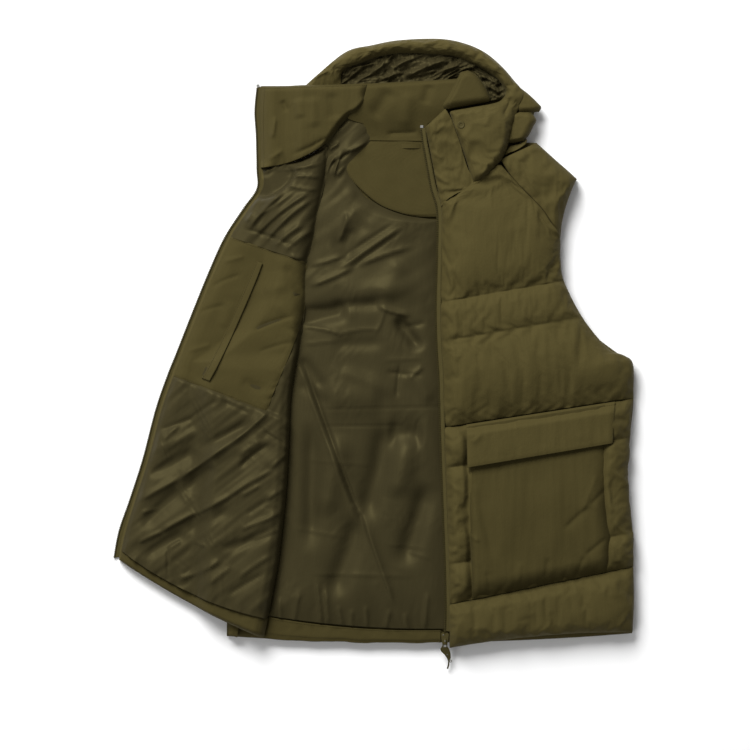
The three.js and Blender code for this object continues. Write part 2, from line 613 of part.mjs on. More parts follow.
// The closed front's lower part: quilted beside the pocket and plain under it.
function lowerFrontTop(p) {
  const quilted = STACK + padded(p, { loft: FRONT_LOFT, line: QUILT_LINE, reach: 22, side: 24 });
  const plain = STACK + 4 + 14 * dome(p.left, 40) * dome(p.right, 40);
  const inside = smooth((p.u - POCKET_EDGE.left) / 0.05) * smooth((POCKET_EDGE.right - p.u) / 0.05);
  return mix(quilted, Math.min(plain, quilted + 9), inside * smooth(p.t / 0.12) * smooth((4 - p.t) / 0.3));
}

function addClosedFront() {
  const quilt = { loft: FRONT_LOFT, line: QUILT_LINE, reach: 24, side: 24 };
  add("front_left_chest", "shell", wall(gridOf(CHEST, { cell: 24 }), (p) => STACK + padded(p, quilt), STACK));
  const yoke = gridOf(YOKE, { cell: 18 });
  add("front_left_yoke", "shell", wall(yoke, (p) => STACK + padded(p, { loft: 17, reach: 18 }), STACK));

  const middle = Array.from({ length: 11 }, (_, k) => mix(POCKET_EDGE.left, POCKET_EDGE.right, k / 10));
  const columns = [0, 0.012, 0.04, 0.078, ...middle, POCKET_EDGE.flapRight, 0.93, 0.96, 0.988, 1];
  const grid = gridOf(LOWER_FRONT, { cell: 24, columns });
  add("front_left_lower", "shell", wall(grid, lowerFrontTop, STACK));
  const band = gridOf(HEM_BAND, { cell: 24 });
  add("front_left_hem_band", "shell", wall(band, (p) => STACK + padded(p, { loft: 21, reach: 20 }), STACK));

  const [first, lastColumn] = [columns.indexOf(POCKET_EDGE.left), columns.indexOf(POCKET_EDGE.right)];
  const rowsOfPocket = grid.filter((row) => row[0].t >= 0.12 && row[0].t <= 3.93);
  const pocket = rowsOfPocket.map((row) => row.slice(first, lastColumn + 1));
  const belly = (p) => {
    const across = dome((p.u - POCKET_EDGE.left) * 255, 26) * dome((POCKET_EDGE.right - p.u) * 255, 26);
    const along = dome((3.93 - p.t) * 62, 34) * smooth((p.t + 0.4) / 1.2);
    return STACK + 25 + 3 * across * along;
  };
  const pocketBase = (p) => lowerFrontTop(p) + 2 * LAY_GAP;
  const pocketTop = (p) => Math.max(pocketBase(p) + CLOTH, belly(p) - 5 * smooth((p.t - 3.6) / 0.33));
  add("pocket_left", "facing", wall(pocket, pocketTop, pocketBase));

  const flapColumn = columns.indexOf(POCKET_EDGE.flapRight);
  const flap = grid.filter((row) => row[0].t >= 0.01 && row[0].t <= 1.08).map((row) => row.slice(first, flapColumn + 1));
  const under = (p) => {
    const overPocket = p.u <= POCKET_EDGE.right + 1e-6 && p.t >= 0.05;
    return (overPocket ? Math.max(pocketTop(p), lowerFrontTop(p)) : lowerFrontTop(p)) + LAY_GAP;
  };
  const flapUnder = (p) => Math.max(under(p), STACK + 16 + 9.5 * smooth(p.t / 0.2));
  add("pocket_flap", "facing", wall(flap, (p) => flapUnder(p) + CLOTH + 1.6 * smooth(p.t / 0.25), flapUnder));
}

function addOpenFront() {
  const shell = gridOf(OPEN_FRONT, { cell: 18, across: 32 });
  add("front_right_shell", "shell", wall(shell, openFrontTop, underOpenFront));
  const fold = gridOf(UNDERLAP, { cell: 24, tight: false });
  const underlapTop = (p) => STACK + 3 + (FOLD_DEPTH - 3) * dome(Math.min(p.left + 1, p.below + 1), 10);
  add("front_right_underlap", "shell", wall(fold, underlapTop, STACK));

  // The inside cloths are made from the padded shell's own points, so they follow it.
  const zone = (name, cloth, first, last, folds, lift) => {
    const grid = shell.filter((row) => row[0].t > first && row[0].t < last).map((row) => row.slice(1, -1));
    const base = (p) => openFrontTop(p) + LAY_GAP;
    const calm = (p) => smooth(Math.min(p.left, p.right) / 10);
    const top = (p) => base(p) + CLOTH + calm(p) * Math.max(0, lift + foldsAt(folds, p));
    add(name, cloth, wall(grid, top, base));
    return surfaceOf(grid, top);
  };
  const { pocketTop, pocketFoot, facing, hem } = OPEN_ROWS;
  zone("front_right_upper_lining", "lining", 0, pocketTop, OPEN_UPPER_FOLDS, 1.5);
  const panel = zone("front_right_pocket_panel", "facing", pocketTop, pocketFoot, [], 1);
  zone("front_right_lower_lining", "lining", pocketFoot, facing, OPEN_LOWER_FOLDS, 1.5);
  zone("front_right_hem_facing", "facing", facing, hem, [], 0.5);

  const passed = shell.map((row) => row[0].t).filter((t) => t > WELT.first && t < WELT.last);
  const lines = [WELT.first, ...passed, WELT.last];
  const lip = lines.map((t) => [0, 0.5, 1].map((s) => {
    const u = mix(WELT.from, WELT.to, (t - WELT.first) / (WELT.last - WELT.first)) + s * WELT.wide;
    return { ...pointOn(OPEN_FRONT, t, u), u, t };
  }));
  add("inner_pocket_welt", "facing", wall(lip, (p) => panel(p) + LAY_GAP + 2.4 + CLOTH, (p) => panel(p) + LAY_GAP + 1.4));
}

// The height of a faceted surface at a point of the same table: between the grid's own points, as its faces run.
function surfaceOf(grid, height) {
  const heights = grid.map((row) => row.map(height));
  const across = grid[0].map((p) => p.u);
  const along = grid.map((row) => row[0].t);
  const cellOf = (list, value) => clamp(list.findIndex((v) => v > value) - 1, 0, list.length - 2);
  return (p) => {
    const [j, i] = [cellOf(along, p.t), cellOf(across, p.u)];
    const high = Math.max(heights[j][i], heights[j][i + 1], heights[j + 1][i], heights[j + 1][i + 1]);
    const f = (p.t - along[j]) / (along[j + 1] - along[j]);
    const g = (p.u - across[i]) / (across[i + 1] - across[i]);
    const near = mix(heights[j][i], heights[j][i + 1], g);
    const far = mix(heights[j + 1][i], heights[j + 1][i + 1], g);
    return Math.min(high, mix(near, far, f) + 0.35);
  };
}

function addCollar() {
  const flat = { edge: 4, reach: 12, side: 14 };
  const right = gridOf(COLLAR_RIGHT, { cell: 20 });
  const lean = (p) => underCollar(p) + 4 + (9 + 13 * smooth((p.x + 190) / 90)) * dome(Math.min(p.above, p.right) + 2, 16) * dome(Math.min(p.below, p.left) + 2, 16);
  add("collar_right", "facing", wall(right, lean, underCollar));
  const back = gridOf(COLLAR_BACK, { cell: 20 });
  const leanBack = (p) => STACK + 4 + (2 + 15 * smooth((p.y - 706) / 60)) * dome(p.above + 1, 10) * dome(p.left + 4, 12) * dome(p.right + 4, 12);
  add("collar_back", "facing", wall(back, leanBack, STACK));
  const turn = gridOf(COLLAR_TURN, { cell: 12 });
  add("collar_turn", "shell", wall(turn, (p) => STACK + padded(p, { ...flat, loft: 30, edge: 14, side: 12 }), STACK));
  const left = gridOf(COLLAR_LEFT, { cell: 13 });
  add("collar_left", "shell", wall(left, (p) => STACK + padded(p, { loft: COLLAR_LOFT + 6 * smooth((p.y - 660) / 70), edge: 9, reach: 16, side: 16 }), STACK));
  const sliver = gridOf(SHOULDER_LINING, { cell: 9, tight: false });
  add("shoulder_lining", "lining", wall(sliver, (p) => STACK + 3 + 1.6 * Math.sin(p.y / 5 + p.x / 14), STACK));
}

function hoodFrontTop(p) {
  const wide = smooth((p.t - 10.5) / 2.5);
  const loft = mix(HOOD_LOFT - 12, HOOD_LOFT, wide);
  return STACK + padded(p, { loft, edge: 7, reach: 14, side: mix(11, 24, wide) });
}

function addHood() {
  const grid = gridOf(HOOD_BACK, { cell: 60 });
  const rise = (p) => 5 * (1 - dome(Math.min(p.left, p.right, p.above, p.below + 6), 9));
  add("hood_back", "shell", wall(grid, () => BODY_THICK, rise));
  const inside = gridOf(HOOD_LINING, { cell: 8, tight: false });
  const crumpled = (p) => Math.max(CLOTH, 3 + foldsAt(HOOD_FOLDS, p) + 1.2 * Math.sin(p.x / 4.5) * Math.sin(p.y / 5));
  add("hood_lining", "lining", wall(inside, (p) => STACK + crumpled(p), STACK));
  const front = gridOf(HOOD_FRONT, { cell: 18 });
  const hood = add("hood_front", "shell", wall(front, hoodFrontTop, STACK));
  for (const [name, rows, loft] of [
    ["hood_side", HOOD_SIDE, 22],
    ["hood_neck", HOOD_NECK, 25],
    ["hood_neck_roll", NECK_ROLL, 17],
  ]) {
    add(name, "shell", wall(gridOf(rows, { cell: 10 }), (p) => STACK + padded(p, { loft, edge: 5, reach: 10 }), STACK));
  }
  addSnap(hood);
}

// The snap's socket lies on the hood where its front end is drawn to the collar.
function addSnap(hood) {
  const down = new THREE.Vector3(0, 0, -1);
  const heights = Array.from({ length: 16 }, (_, k) => {
    const turn = (k / 16) * 2 * Math.PI;
    const above = new THREE.Vector3(SNAP.x + SNAP_RADIUS * Math.cos(turn), SNAP.y + SNAP_RADIUS * Math.sin(turn), 200);
    return new THREE.Raycaster(above, down).intersectObject(hood)[0].point.z;
  });
  const seat = Math.max(...heights) + SEAM_GAP;
  const profile = [
    [0, 0],
    [SNAP_RADIUS, 0],
    [SNAP_RADIUS, 0.8],
    [SNAP_RADIUS - 1.2, 1.9],
    [2.4, 1.6],
    [2.1, 0.9],
    [0, 0.9],
  ].map(([r, z]) => new THREE.Vector2(r, z));
  const socket = new THREE.LatheGeometry(profile, 16);
  socket.rotateX(Math.PI / 2);
  socket.translate(SNAP.x, SNAP.y, seat);
  add("hood_snap", "lacquer", socket);
}

// The slider that holds the zip's foot, with a bridge over its top for the pull tab's pin.
const SLIDER = { x: 19, y: 0.5, long: 17, wide: 11, base: STACK + SEAM_GAP, thick: 5.4 };
const BRIDGE = { wide: 2.6, long: 9, high: 4.4, wall: 0.9 };
const PIN = { y: SLIDER.y + 2.3, z: SLIDER.base + SLIDER.thick + 2.1, radius: 0.7 };
const PULL = { arm: 1.5, gap: 0.5, neck: 6, thick: 1.3, hang: 22 };

function rounded(shapePoints, depth) {
  const shape = new THREE.Shape(shapePoints.map(([x, y]) => new THREE.Vector2(x, y)));
  return new THREE.ExtrudeGeometry(shape, { depth, bevelEnabled: false });
}

function addSlider() {
  const { x, y, long, wide, base, thick } = SLIDER;
  const [w, n] = [wide / 2, wide / 2 - 2.4];
  const outline = [[-n, 0], [n, 0], [w - 0.8, long * 0.4], [w, long - 2], [w - 1.5, long]];
  const plan = [...outline, [1, long], [0, long - 3], [-1, long], [1.5 - w, long], [-w, long - 2], [0.8 - w, long * 0.4]];
  const body = rounded(plan, thick).translate(x, y, base);
  const top = base + thick;
  const { wall: t, high } = BRIDGE;
  const arch = [[0, -0.6], [0, high - 1], [1, high], [BRIDGE.long - 1.5, high], [BRIDGE.long, high - 1.5]];
  const inner = [[BRIDGE.long, -0.6], [BRIDGE.long - t, -0.6], [BRIDGE.long - t, high - 1.9], [BRIDGE.long - 1.9, high - t]];
  const bridge = rounded([...arch, ...inner, [1.4, high - t], [t, high - 1.4], [t, -0.6]], BRIDGE.wide);
  // Drawn as length and height, then stood up along the slider.
  bridge.applyMatrix4(new THREE.Matrix4().set(0, 0, 1, x - BRIDGE.wide / 2, 1, 0, 0, y, 0, 1, 0, top, 0, 0, 0, 1));
  add("zip_slider", "lacquer", united([body, bridge]));
}

// The pull tab is a limp leaf that has set in a bend, with a small ring at its edge near the tail.
function addPullTab() {
  const { arm, gap, neck, thick } = PULL;
  const inside = BRIDGE.wide / 2 + gap;
  const outside = inside + arm;
  const right = [[outside, 0], [outside, -neck + 1], [5.6, -8.5], [6.9, -12], [8.1, -16.7], [8.3, -22.5], [6.8, -25.6]];
  const tail = [[6.5, -30], [6.1, -34.9], [4.7, -40], [2.8, -39.2], [4.2, -33.3], [4.7, -27.5], [3, -22.9]];
  const left = [[-0.2, -17.7], [-5.2, -12.5], [-6.4, -8.6], [-outside - 0.6, -neck + 1], [-outside, 0]];
  const slot = [[-inside, 0], [-inside, -neck], [inside, -neck], [inside, 0]];
  const leaf = rounded([...right, ...tail, ...left, ...slot], thick).translate(0, 0, -thick / 2);
  const ring = new THREE.TorusGeometry(1.7, 0.5, 6, 14).translate(8, -27.6, 0);
  const pin = new THREE.CylinderGeometry(PIN.radius, PIN.radius, 2 * outside - 0.2, 16).rotateZ(Math.PI / 2);
  const tab = united([leaf, ring, pin]);
  tab.rotateX(THREE.MathUtils.degToRad(PULL.hang));
  add("pull_tab", "lacquer", tab.translate(SLIDER.x, PIN.y, PIN.z));
}

function addZip() {
  const left = gridOf(ZIP_LEFT, { cell: 50, tight: false, columns: [0, 0.4, 1] });
  const lift = (p) => 5 + (1 + 1.5 * p.u) * smooth((p.y - 20) / 60) + 3 * smooth((p.y - 640) / 60);
  const rise = (p) => STACK + lift(p);
  const teeth = (p) => TAPE_THICK + (p.u < 0.5 ? 0.9 : 0);
  add("zip_tape_left", "tape", wall(left, (p) => rise(p) + teeth(p), rise));
  const right = gridOf(ZIP_RIGHT, { cell: 50, tight: false, columns: [0, 0.4, 1] });
  add("zip_tape_right", "tape", wall(right, (p) => 0.8 + teeth(p), 0.8));
  for (const [name, x, y, z] of [
    ["zip_stop_left", -13.5, 726, rise({ u: 0, y: 726 })],
    ["zip_stop_right", -243.5, 784.8, 0.8],
  ]) {
    const stop = new THREE.BoxGeometry(4, 3.6, 2.6);
    stop.translate(x, y, z + 1.3);
    add(name, "metal", stop);
  }
}

addBack();
addHangerLoop();
addClosedFront();
addOpenFront();
addCollar();
addHood();
addZip();
addSlider();
addPullTab();

export default group;
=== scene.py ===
"""A hooded, sleeveless puffer vest laid on its back, its left front closed and its right front folded open.

Lengths in the tables are millimetres: x across from the centre back, y up from the hem, and z up from the
surface.
"""

import json
import math
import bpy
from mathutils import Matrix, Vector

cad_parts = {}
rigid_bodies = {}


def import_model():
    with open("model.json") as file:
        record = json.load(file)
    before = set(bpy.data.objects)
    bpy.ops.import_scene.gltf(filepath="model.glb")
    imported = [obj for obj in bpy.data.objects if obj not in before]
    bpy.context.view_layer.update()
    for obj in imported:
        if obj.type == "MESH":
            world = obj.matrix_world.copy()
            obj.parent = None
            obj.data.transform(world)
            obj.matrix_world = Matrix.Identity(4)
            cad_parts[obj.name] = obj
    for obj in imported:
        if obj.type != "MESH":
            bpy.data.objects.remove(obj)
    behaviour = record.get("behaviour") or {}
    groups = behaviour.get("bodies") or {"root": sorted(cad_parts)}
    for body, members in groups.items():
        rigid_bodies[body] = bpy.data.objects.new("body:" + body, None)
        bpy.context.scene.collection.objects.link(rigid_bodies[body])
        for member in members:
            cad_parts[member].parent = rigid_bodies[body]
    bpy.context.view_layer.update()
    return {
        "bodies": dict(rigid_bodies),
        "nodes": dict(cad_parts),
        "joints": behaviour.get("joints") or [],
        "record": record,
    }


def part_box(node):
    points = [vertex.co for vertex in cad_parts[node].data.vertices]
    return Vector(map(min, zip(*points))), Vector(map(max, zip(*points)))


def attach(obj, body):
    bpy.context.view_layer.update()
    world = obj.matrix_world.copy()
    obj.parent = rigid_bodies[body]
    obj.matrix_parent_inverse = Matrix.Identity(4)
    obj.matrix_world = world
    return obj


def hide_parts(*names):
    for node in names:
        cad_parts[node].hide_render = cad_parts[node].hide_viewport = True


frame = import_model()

from types import SimpleNamespace

import bpy
import numpy as np
from bpy.props import FloatProperty, FloatVectorProperty, PointerProperty

bl_info = {
    "name": "Puffer vest, laid flat",
    "version": (1, 0, 0),
    "blender": (4, 5, 0),
    "location": "View3D > Sidebar > Vest",
    "description": "Cloth, padding, zip and studio of a hooded puffer vest",
    "category": "Add Mesh",
}

PICTURE_WIDE = 1.05  # metres that the picture shows at a height of VIEW_HEIGHT
VIEW_HEIGHT = 0.02
# The facing's factor is painted shade: the facing cloth is the shell's own cloth, made darker for the collars,
# facings, pockets, welt and hanger loop. The thread's and the teeth's factors are their own darker colours.
SHADE = {"facing": 0.78, "thread": 0.7, "teeth": 0.75}  # of the shell's colour, or the tape's for the teeth
FLOOR_DROP = 0.0008  # metres that the floor lies below the vest
MIDDLE = (-80.95, 407.66)  # of everything laid out, from the centre back and the hem
STACK = 12.3  # where the second layer starts


def Rows(edge, bow=None, corner=(), line=()):
    """Cross rows of a piece: left x, left y, right x, right y. bow lifts a row's middle, a corner breaks both
    edges' curves, and a line is a quilting line."""
    return SimpleNamespace(edge=np.array(edge, float), bow=bow or {}, corner=corner, line=line)


BACK = Rows(
    [
        (-148, 704, 148, 704), (-204, 654, 204, 654), (-188, 616, 188, 616), (-181, 567, 181, 567),
        (-182, 525, 182, 525), (-194, 483, 194, 483), (-222, 441, 222, 441), (-256, 413, 256, 413),
        (-281, 397, 281, 397), (-284, 346, 284, 346), (-281, 290, 279, 291), (-279, 228, 276, 226),
        (-284, 165, 283, 157), (-286, 110, 283, 110), (-287, 12, 282, 16),
    ],
    bow={14: -11},
    corner=(1, 8),
)
CHEST = Rows(
    [
        (89, 672.5, 97, 672), (77, 661.5, 113.5, 653), (59.5, 648.5, 134.5, 631), (42.5, 635, 153, 612),
        (22, 622.5, 168, 590), (14.5, 613, 180, 572), (14, 545, 181, 541), (13, 480, 186, 510),
        (14, 425, 212, 459), (16, 390, 247, 416), (17, 368, 270, 406), (17, 345, 283, 393),
        (18, 305, 283, 346),
    ],
    line=(7, 8),
)
YOKE = Rows(
    [
        (99, 681, 146, 703), (115, 656, 162, 690), (136, 634, 177, 677), (158, 610, 192, 664),
        (181, 574, 204, 653),
    ],
    bow={4: 4},
)
LOWER_FRONT = Rows(
    [
        (18, 305, 283, 346), (20, 248, 279, 291), (22, 180, 276, 225), (24, 113, 283, 157),
        (26, 57, 283, 110),
    ],
    line=(1, 3),
)
HEM_BAND = Rows(
    [
        (26, 57, 283, 110), (27, 26, 284, 65), (27, -4, 282, 18),
    ],
    bow={2: 6},
)
OPEN_FRONT = Rows(
    [
        (-239, 668, -146, 703), (-239, 641, -147, 662), (-257, 614, -157, 616), (-275, 588, -165, 570),
        (-284, 573, -174, 536), (-306, 525, -176, 483), (-330, 466, -184, 424), (-352, 410, -195, 360),
        (-364, 379, -198, 316), (-381, 331, -200, 272), (-399, 262, -203, 217), (-418, 203, -209, 161),
        (-431, 161, -215, 112), (-437, 134, -229, 39), (-438, 119, -235, 10),
    ],
    line=(4, 8, 13),
    bow={0: -8, 13: -13, 14: -6},
)
BACK_LINING = Rows(
    [
        (-140, 648, -115, 650), (-148, 632, -98, 631), (-153, 615, -84, 621), (-157, 598, -66, 611),
        (-160, 581, -36, 601), (-164, 563, 9, 595), (-171, 532, 11, 560), (-173, 483, 11, 483),
        (-181, 424, 12, 424), (-192, 360, 15, 370), (-195, 316, 16, 316), (-197, 272, 17, 272),
        (-200, 217, 19, 217), (-206, 161, 21, 161), (-212, 112, 23, 112), (-225, 41, 24, 23),
    ],
    bow={15: -6},
    corner=(5,),
)
NECK_FACING = Rows(
    [
        (-92, 705, -11, 704), (-124, 675, -6, 680), (-111, 654, -1, 656), (-94, 636, 2, 638),
        (-70, 617, 5, 618), (-42, 606, 8, 608), (-16, 600, 9, 600),
    ],
    corner=(1,),
)
BACK_HEM_FACING = Rows(
    [
        (-226, 39, 11, 21), (-232, 8, 11, 4),
    ],
    bow={0: -6, 1: -2},
)
COLLAR_RIGHT = Rows(
    [
        (-239, 784, -84, 787), (-241, 749, -93, 757), (-240, 715, -112, 743), (-239, 692, -128, 725),
        (-239, 669, -145, 704.5),
    ],
    bow={0: -1, 4: -8},
)
COLLAR_BACK = Rows(
    [
        (-81, 787, 34, 793), (-90, 758, 20, 770), (-106, 744, 13, 754), (-108, 737, -2, 740),
        (-87, 730, -17, 730), (-87, 718, -20, 718), (-93, 707, -19, 706),
    ],
    corner=(2, 4),
)
COLLAR_TURN = Rows(
    [
        (42, 802, 50, 804), (34, 787, 63, 796), (26, 771, 74, 781), (17, 755, 81, 764),
        (23, 750, 78, 760),
    ],
)
COLLAR_LEFT = Rows(
    [
        (-9, 725, 17, 749), (-4.5, 705, 26.5, 733), (0.5, 680, 38, 700), (6, 652, 47.5, 668),
        (10, 632, 57, 649), (14, 614, 42, 633.5),
    ],
    bow={5: 3},
)
HOOD_FRONT = Rows(
    [
        (-134, 791, -174, 788), (-123, 804, -158, 801), (-97, 816, -119, 832), (-70, 825, -83, 841),
        (-38, 829, -45, 848), (8, 827, 10, 850), (35, 824, 45, 844), (60, 813, 75, 831),
        (84, 799, 100, 810), (99, 785, 119, 787), (104, 773, 130, 768), (96, 762, 121, 750),
        (80, 757, 116, 733), (54, 752, 112, 718), (25, 747, 107, 703), (31, 728, 102, 692),
        (41, 700, 95, 681), (51, 670, 87, 672), (60, 649, 77, 662),
    ],
    corner=(14,),
)
NECK_ROLL = Rows(
    [
        (98, 684, 104, 694), (107, 688, 110, 699), (121, 694, 124, 703), (133, 702, 134, 709),
    ],
)
HOOD_BACK = Rows(
    [
        (-60, 837, 45, 837), (-112, 824, 76, 824), (-150, 802, 105, 802), (-170, 786, 125, 780),
        (-168, 765, 146, 757), (-130, 738, 139, 733), (-100, 705, 132, 705),
    ],
)
HOOD_LINING = Rows(
    [
        (-125, 790, -124, 798), (-112, 790, -111, 806), (-92, 790, -93, 813), (-70, 790, -69, 822),
        (-38, 793, -38, 826), (8, 796, 8, 824), (34, 802, 34, 821), (52, 809, 57, 811),
        (68, 800, 80, 797), (79, 785, 95, 784), (84.5, 770, 100, 774), (85.5, 763, 93, 764),
    ],
)
ZIP_LEFT = Rows(
    [
        (-15.5, 723, -10, 724), (-13, 704, -8, 705), (-8.5, 679, -3, 680), (-1.5, 641, 4.5, 642),
        (7, 608, 13.5, 610), (7, 545, 13, 545), (5, 480, 12, 480), (6, 425, 13, 425), (9, 374, 16, 374),
        (11, 305, 17, 305), (13, 244, 19, 244), (15.5, 177, 21.5, 177), (18, 111, 24, 111),
        (19, 57, 25, 57), (18, 20, 26, 19),
    ],
)
ZIP_RIGHT = Rows(
    [
        (-245, 782, -240, 783), (-248, 749, -242, 749), (-246, 715, -241, 715), (-245, 668, -240, 668),
        (-245, 640, -240, 641), (-264, 612, -258.5, 614), (-290, 572, -285, 573),
        (-312, 524, -307, 525), (-336, 465, -331, 466), (-358, 409, -353, 410),
        (-370.5, 378, -365, 379), (-387, 330, -382, 331), (-405, 261, -400, 262),
        (-424, 202, -419, 203), (-438.5, 160, -433.5, 161), (-446, 121, -441, 122),
    ],
)
UNDERLAP = Rows(
    [
        (-278, 368, -246, 352), (-280, 300, -248, 290), (-276, 228, -250, 217), (-281, 110, -258, 112),
        (-284, 14, -272, 11),
    ],
)

# Folds placed one by one. Columns: from x, y, to x, y, half width, height, bow to the left, and how much steeper the
# right side is than the left, from 0 to 1.
BACK_FOLDS = [
    (-38.3, 588.4, -132.1, 524, 3.6, 4.5, -1, 0.3), (-29.9, 587, -119.5, 522.6, 4, -2.5, -1, 0),
    (-46.7, 594, -139.1, 532.4, 4, -2.5, -1, 0), (-140.5, 494.6, -10.3, 501.6, 16, 5.5, 0, 0),
    (-155.9, 349, -63.5, 346.2, 24, 6.6, 0, 0), (-141.9, 573, -10.3, 587, 18, 3.3, 0, 0),
    (-63.5, 295.8, -7.5, 293, 20, -8.8, 0, 0), (-141.9, 420.4, -63.5, 423.2, 9, -3.3, 0, 0),
    (-172.7, 501.6, -105.5, 531, 4.5, 4, -2, 0.4), (-105.5, 529.6, -22.9, 559, 5, 4, 2, 0.4),
    (-171.3, 531, -109.7, 550.6, 3.5, 3, -2, 0.3), (-118.1, 608, -130.7, 563.2, 4, 4.5, 2, 0.3),
    (-105.5, 612.2, -119.5, 587, 3, 1.8, -1, 0.6), (-186.7, 458.2, -113.9, 469.4, 12, -13.2, 0, 0),
    (-141.9, 473.6, -63.5, 479.2, 8, -5, 1, 0), (-182.5, 447, -120.9, 433, 2.6, 3, 2, 0.3),
    (-133.5, 433, -71.9, 441.4, 2.4, 1.6, 3, 0.6), (-80.3, 433, -64.9, 472.2, 2.8, 1.8, -3, 0.6),
    (-182.5, 420.4, -127.9, 426, 3, 1.2, 0, 0.6), (-77.5, 475, -27.1, 461, 4, 4.5, -2, 0.3),
    (-49.5, 461, -17.3, 413.4, 8, -5, 0, 0), (-69.1, 398, -10.3, 400.8, 3, 1, 0, 0.6),
    (-186.7, 417.6, -85.9, 144.6, 4.5, -6.5, -1, 0), (-193.7, 417.6, -94.3, 144.6, 4, 2.5, -1, 0),
    (-183.9, 405, -150.3, 357.4, 8, -5, 0, 0), (-52.3, 461, -10.3, 410.6, 9, -5.5, 0, 0),
    (-66.3, 382.6, -10.3, 377, 5, -3, 0, 0), (-43.9, 396.6, -49.5, 343.4, 4, -3, 0, 0),
    (-32.7, 371.4, -10.3, 391, 3.5, 3, 0, 0.3), (-99.9, 192.2, -49.5, 49.4, 3.4, 5, -1, 0.6),
    (-111.1, 199.2, -97.1, 182.4, 5, 3, 0, 0), (-183.9, 259.4, -77.5, 251, 3, 0.7, 0, 0.6),
    (-195.1, 164.2, -120.9, 150.2, 3, 0.8, 0, 0.6), (-69.1, 141.8, -4.7, 134.8, 2.6, 0.8, 0, 0.6),
    (-38.3, 132, 2.3, 119.4, 2.6, 0.8, 0, 0.6), (-178.3, 99.8, -15.9, 95.6, 3, 1.2, 0, 0.6),
    (-60.7, 319.6, -97.1, 167, 15, -11, 3, 0), (-99.9, 186.6, -143.3, 60.6, 15, -11, 2, 0),
    (-4.7, 231.4, -43.9, 105.4, 14, -11, 2, 0), (-168.5, 318.2, -171.3, 125, 12, -8.8, 2, 0),
    (-127.9, 301.4, -153.1, 175.4, 16, 7.7, 3, 0), (-29.9, 301.4, -55.1, 203.4, 16, 7.7, 3, 0),
    (-41.1, 542.2, -71.9, 483.4, 14, 4.4, 3, 0), (-111.1, 587, -122.3, 536.6, 9, -4.4, 0, 0),
    (-83.1, 592.6, -141.9, 550.6, 10, -4.4, -3, 0), (-161.5, 94.2, -154.5, 21.4, 3, 3.5, 1, 0.3),
    (-148.9, 85.8, -144.7, 21.4, 3, 3, 0, 0.6), (-130.7, 59.2, -123.7, 21.4, 3.5, 3, 0, 0),
    (-111.1, 52.2, -112.5, 21.4, 3.5, 3, 0, 0), (-91.5, 57.8, -90.1, 20, 3.5, 3, 0, 0),
    (-57.9, 52.2, -64.9, 20, 3.5, 3, 0, 0), (-38.3, 46.6, -32.7, 18.6, 3.5, 3, 0, 0),
    (-4.7, 77.4, -10.3, 17.2, 4, 3.5, 0, 0), (-183.9, 77.4, -195.1, 24.2, 5, 3, 0, 0),
    (-213.3, 70.4, -210.5, 24.2, 5, 3, 0, 0), (-50.9, 441.4, -4.7, 452.6, 6, -3, 0, 0),
    (-38.3, 385.4, 0.9, 337.8, 9, 3.3, 3, 0), (-141.9, 385.4, -43.9, 346.2, 10, 2.8, 6, 0),
    (-186.7, 371.4, -141.9, 332.2, 8, -3, 0, 0),
]
OPEN_UPPER_FOLDS = [
    (-237.1, 636, -220.3, 654.2, 3, 3.5, -1, 0), (-189.5, 637.4, -242.7, 601, 3, 3, 2, 0.3),
    (-248.3, 606.6, -259.5, 592.6, 3, 3, 0, 0.3), (-270.7, 592.6, -217.5, 645.8, 5, 6, 3, 0.4),
    (-258.1, 578.6, -203.5, 634.6, 5, 6, 4, 0.4), (-251.1, 567.4, -164.3, 636, 4.5, 6, 5, 0.5),
    (-237.1, 559, -158.7, 627.6, 4, 5, 5, 0.5), (-223.1, 553.4, -175.5, 589.8, 4, 4.5, 3, 0.3),
    (-207.7, 549.2, -161.5, 582.8, 4, 4, 2, 0.3), (-220.3, 664, -150.3, 675.2, 3, 3.5, -2, 0),
    (-210.5, 654.2, -150.3, 654.2, 3, 3, 2, 0), (-203.5, 644.4, -155.9, 637.4, 3, 3, -2, 0),
    (-263.7, 584.2, -183.9, 554.8, 3, -3, 2, 0), (-197.9, 545, -175.5, 540.8, 3, 3, 0, 0),
]
PANEL_FOLDS = [
    (-311.3, 500.2, -263.7, 519.8, 3, -1.6, 2, 0), (-330.9, 463.8, -284.7, 476.4, 3, -1.4, 2, 0),
    (-253.9, 437.2, -186.7, 461, 3, -2.6, 3, 0.4), (-244.1, 409.2, -190.9, 424.6, 3, -1.6, 2, 0),
    (-293.1, 536.6, -259.5, 545, 4, 1.6, 0, 0), (-343.5, 410.6, -307.1, 421.8, 4, 1.2, 0, 0),
    (-206.3, 533.8, -181.1, 483.4, 8, -2.5, 2, 0), (-237.1, 497.4, -197.9, 503, 7, 1.5, 0, 0),
    (-293.1, 441.4, -279.1, 483.4, 8, 1.5, 0, 0), (-267.9, 371.4, -228.7, 354.6, 7, -1.5, 0, 0),
    (-309.9, 399.4, -323.9, 365.8, 8, -1.5, 0, 0), (-217.5, 483.4, -186.7, 441.4, 8, 2, 0, 0),
]
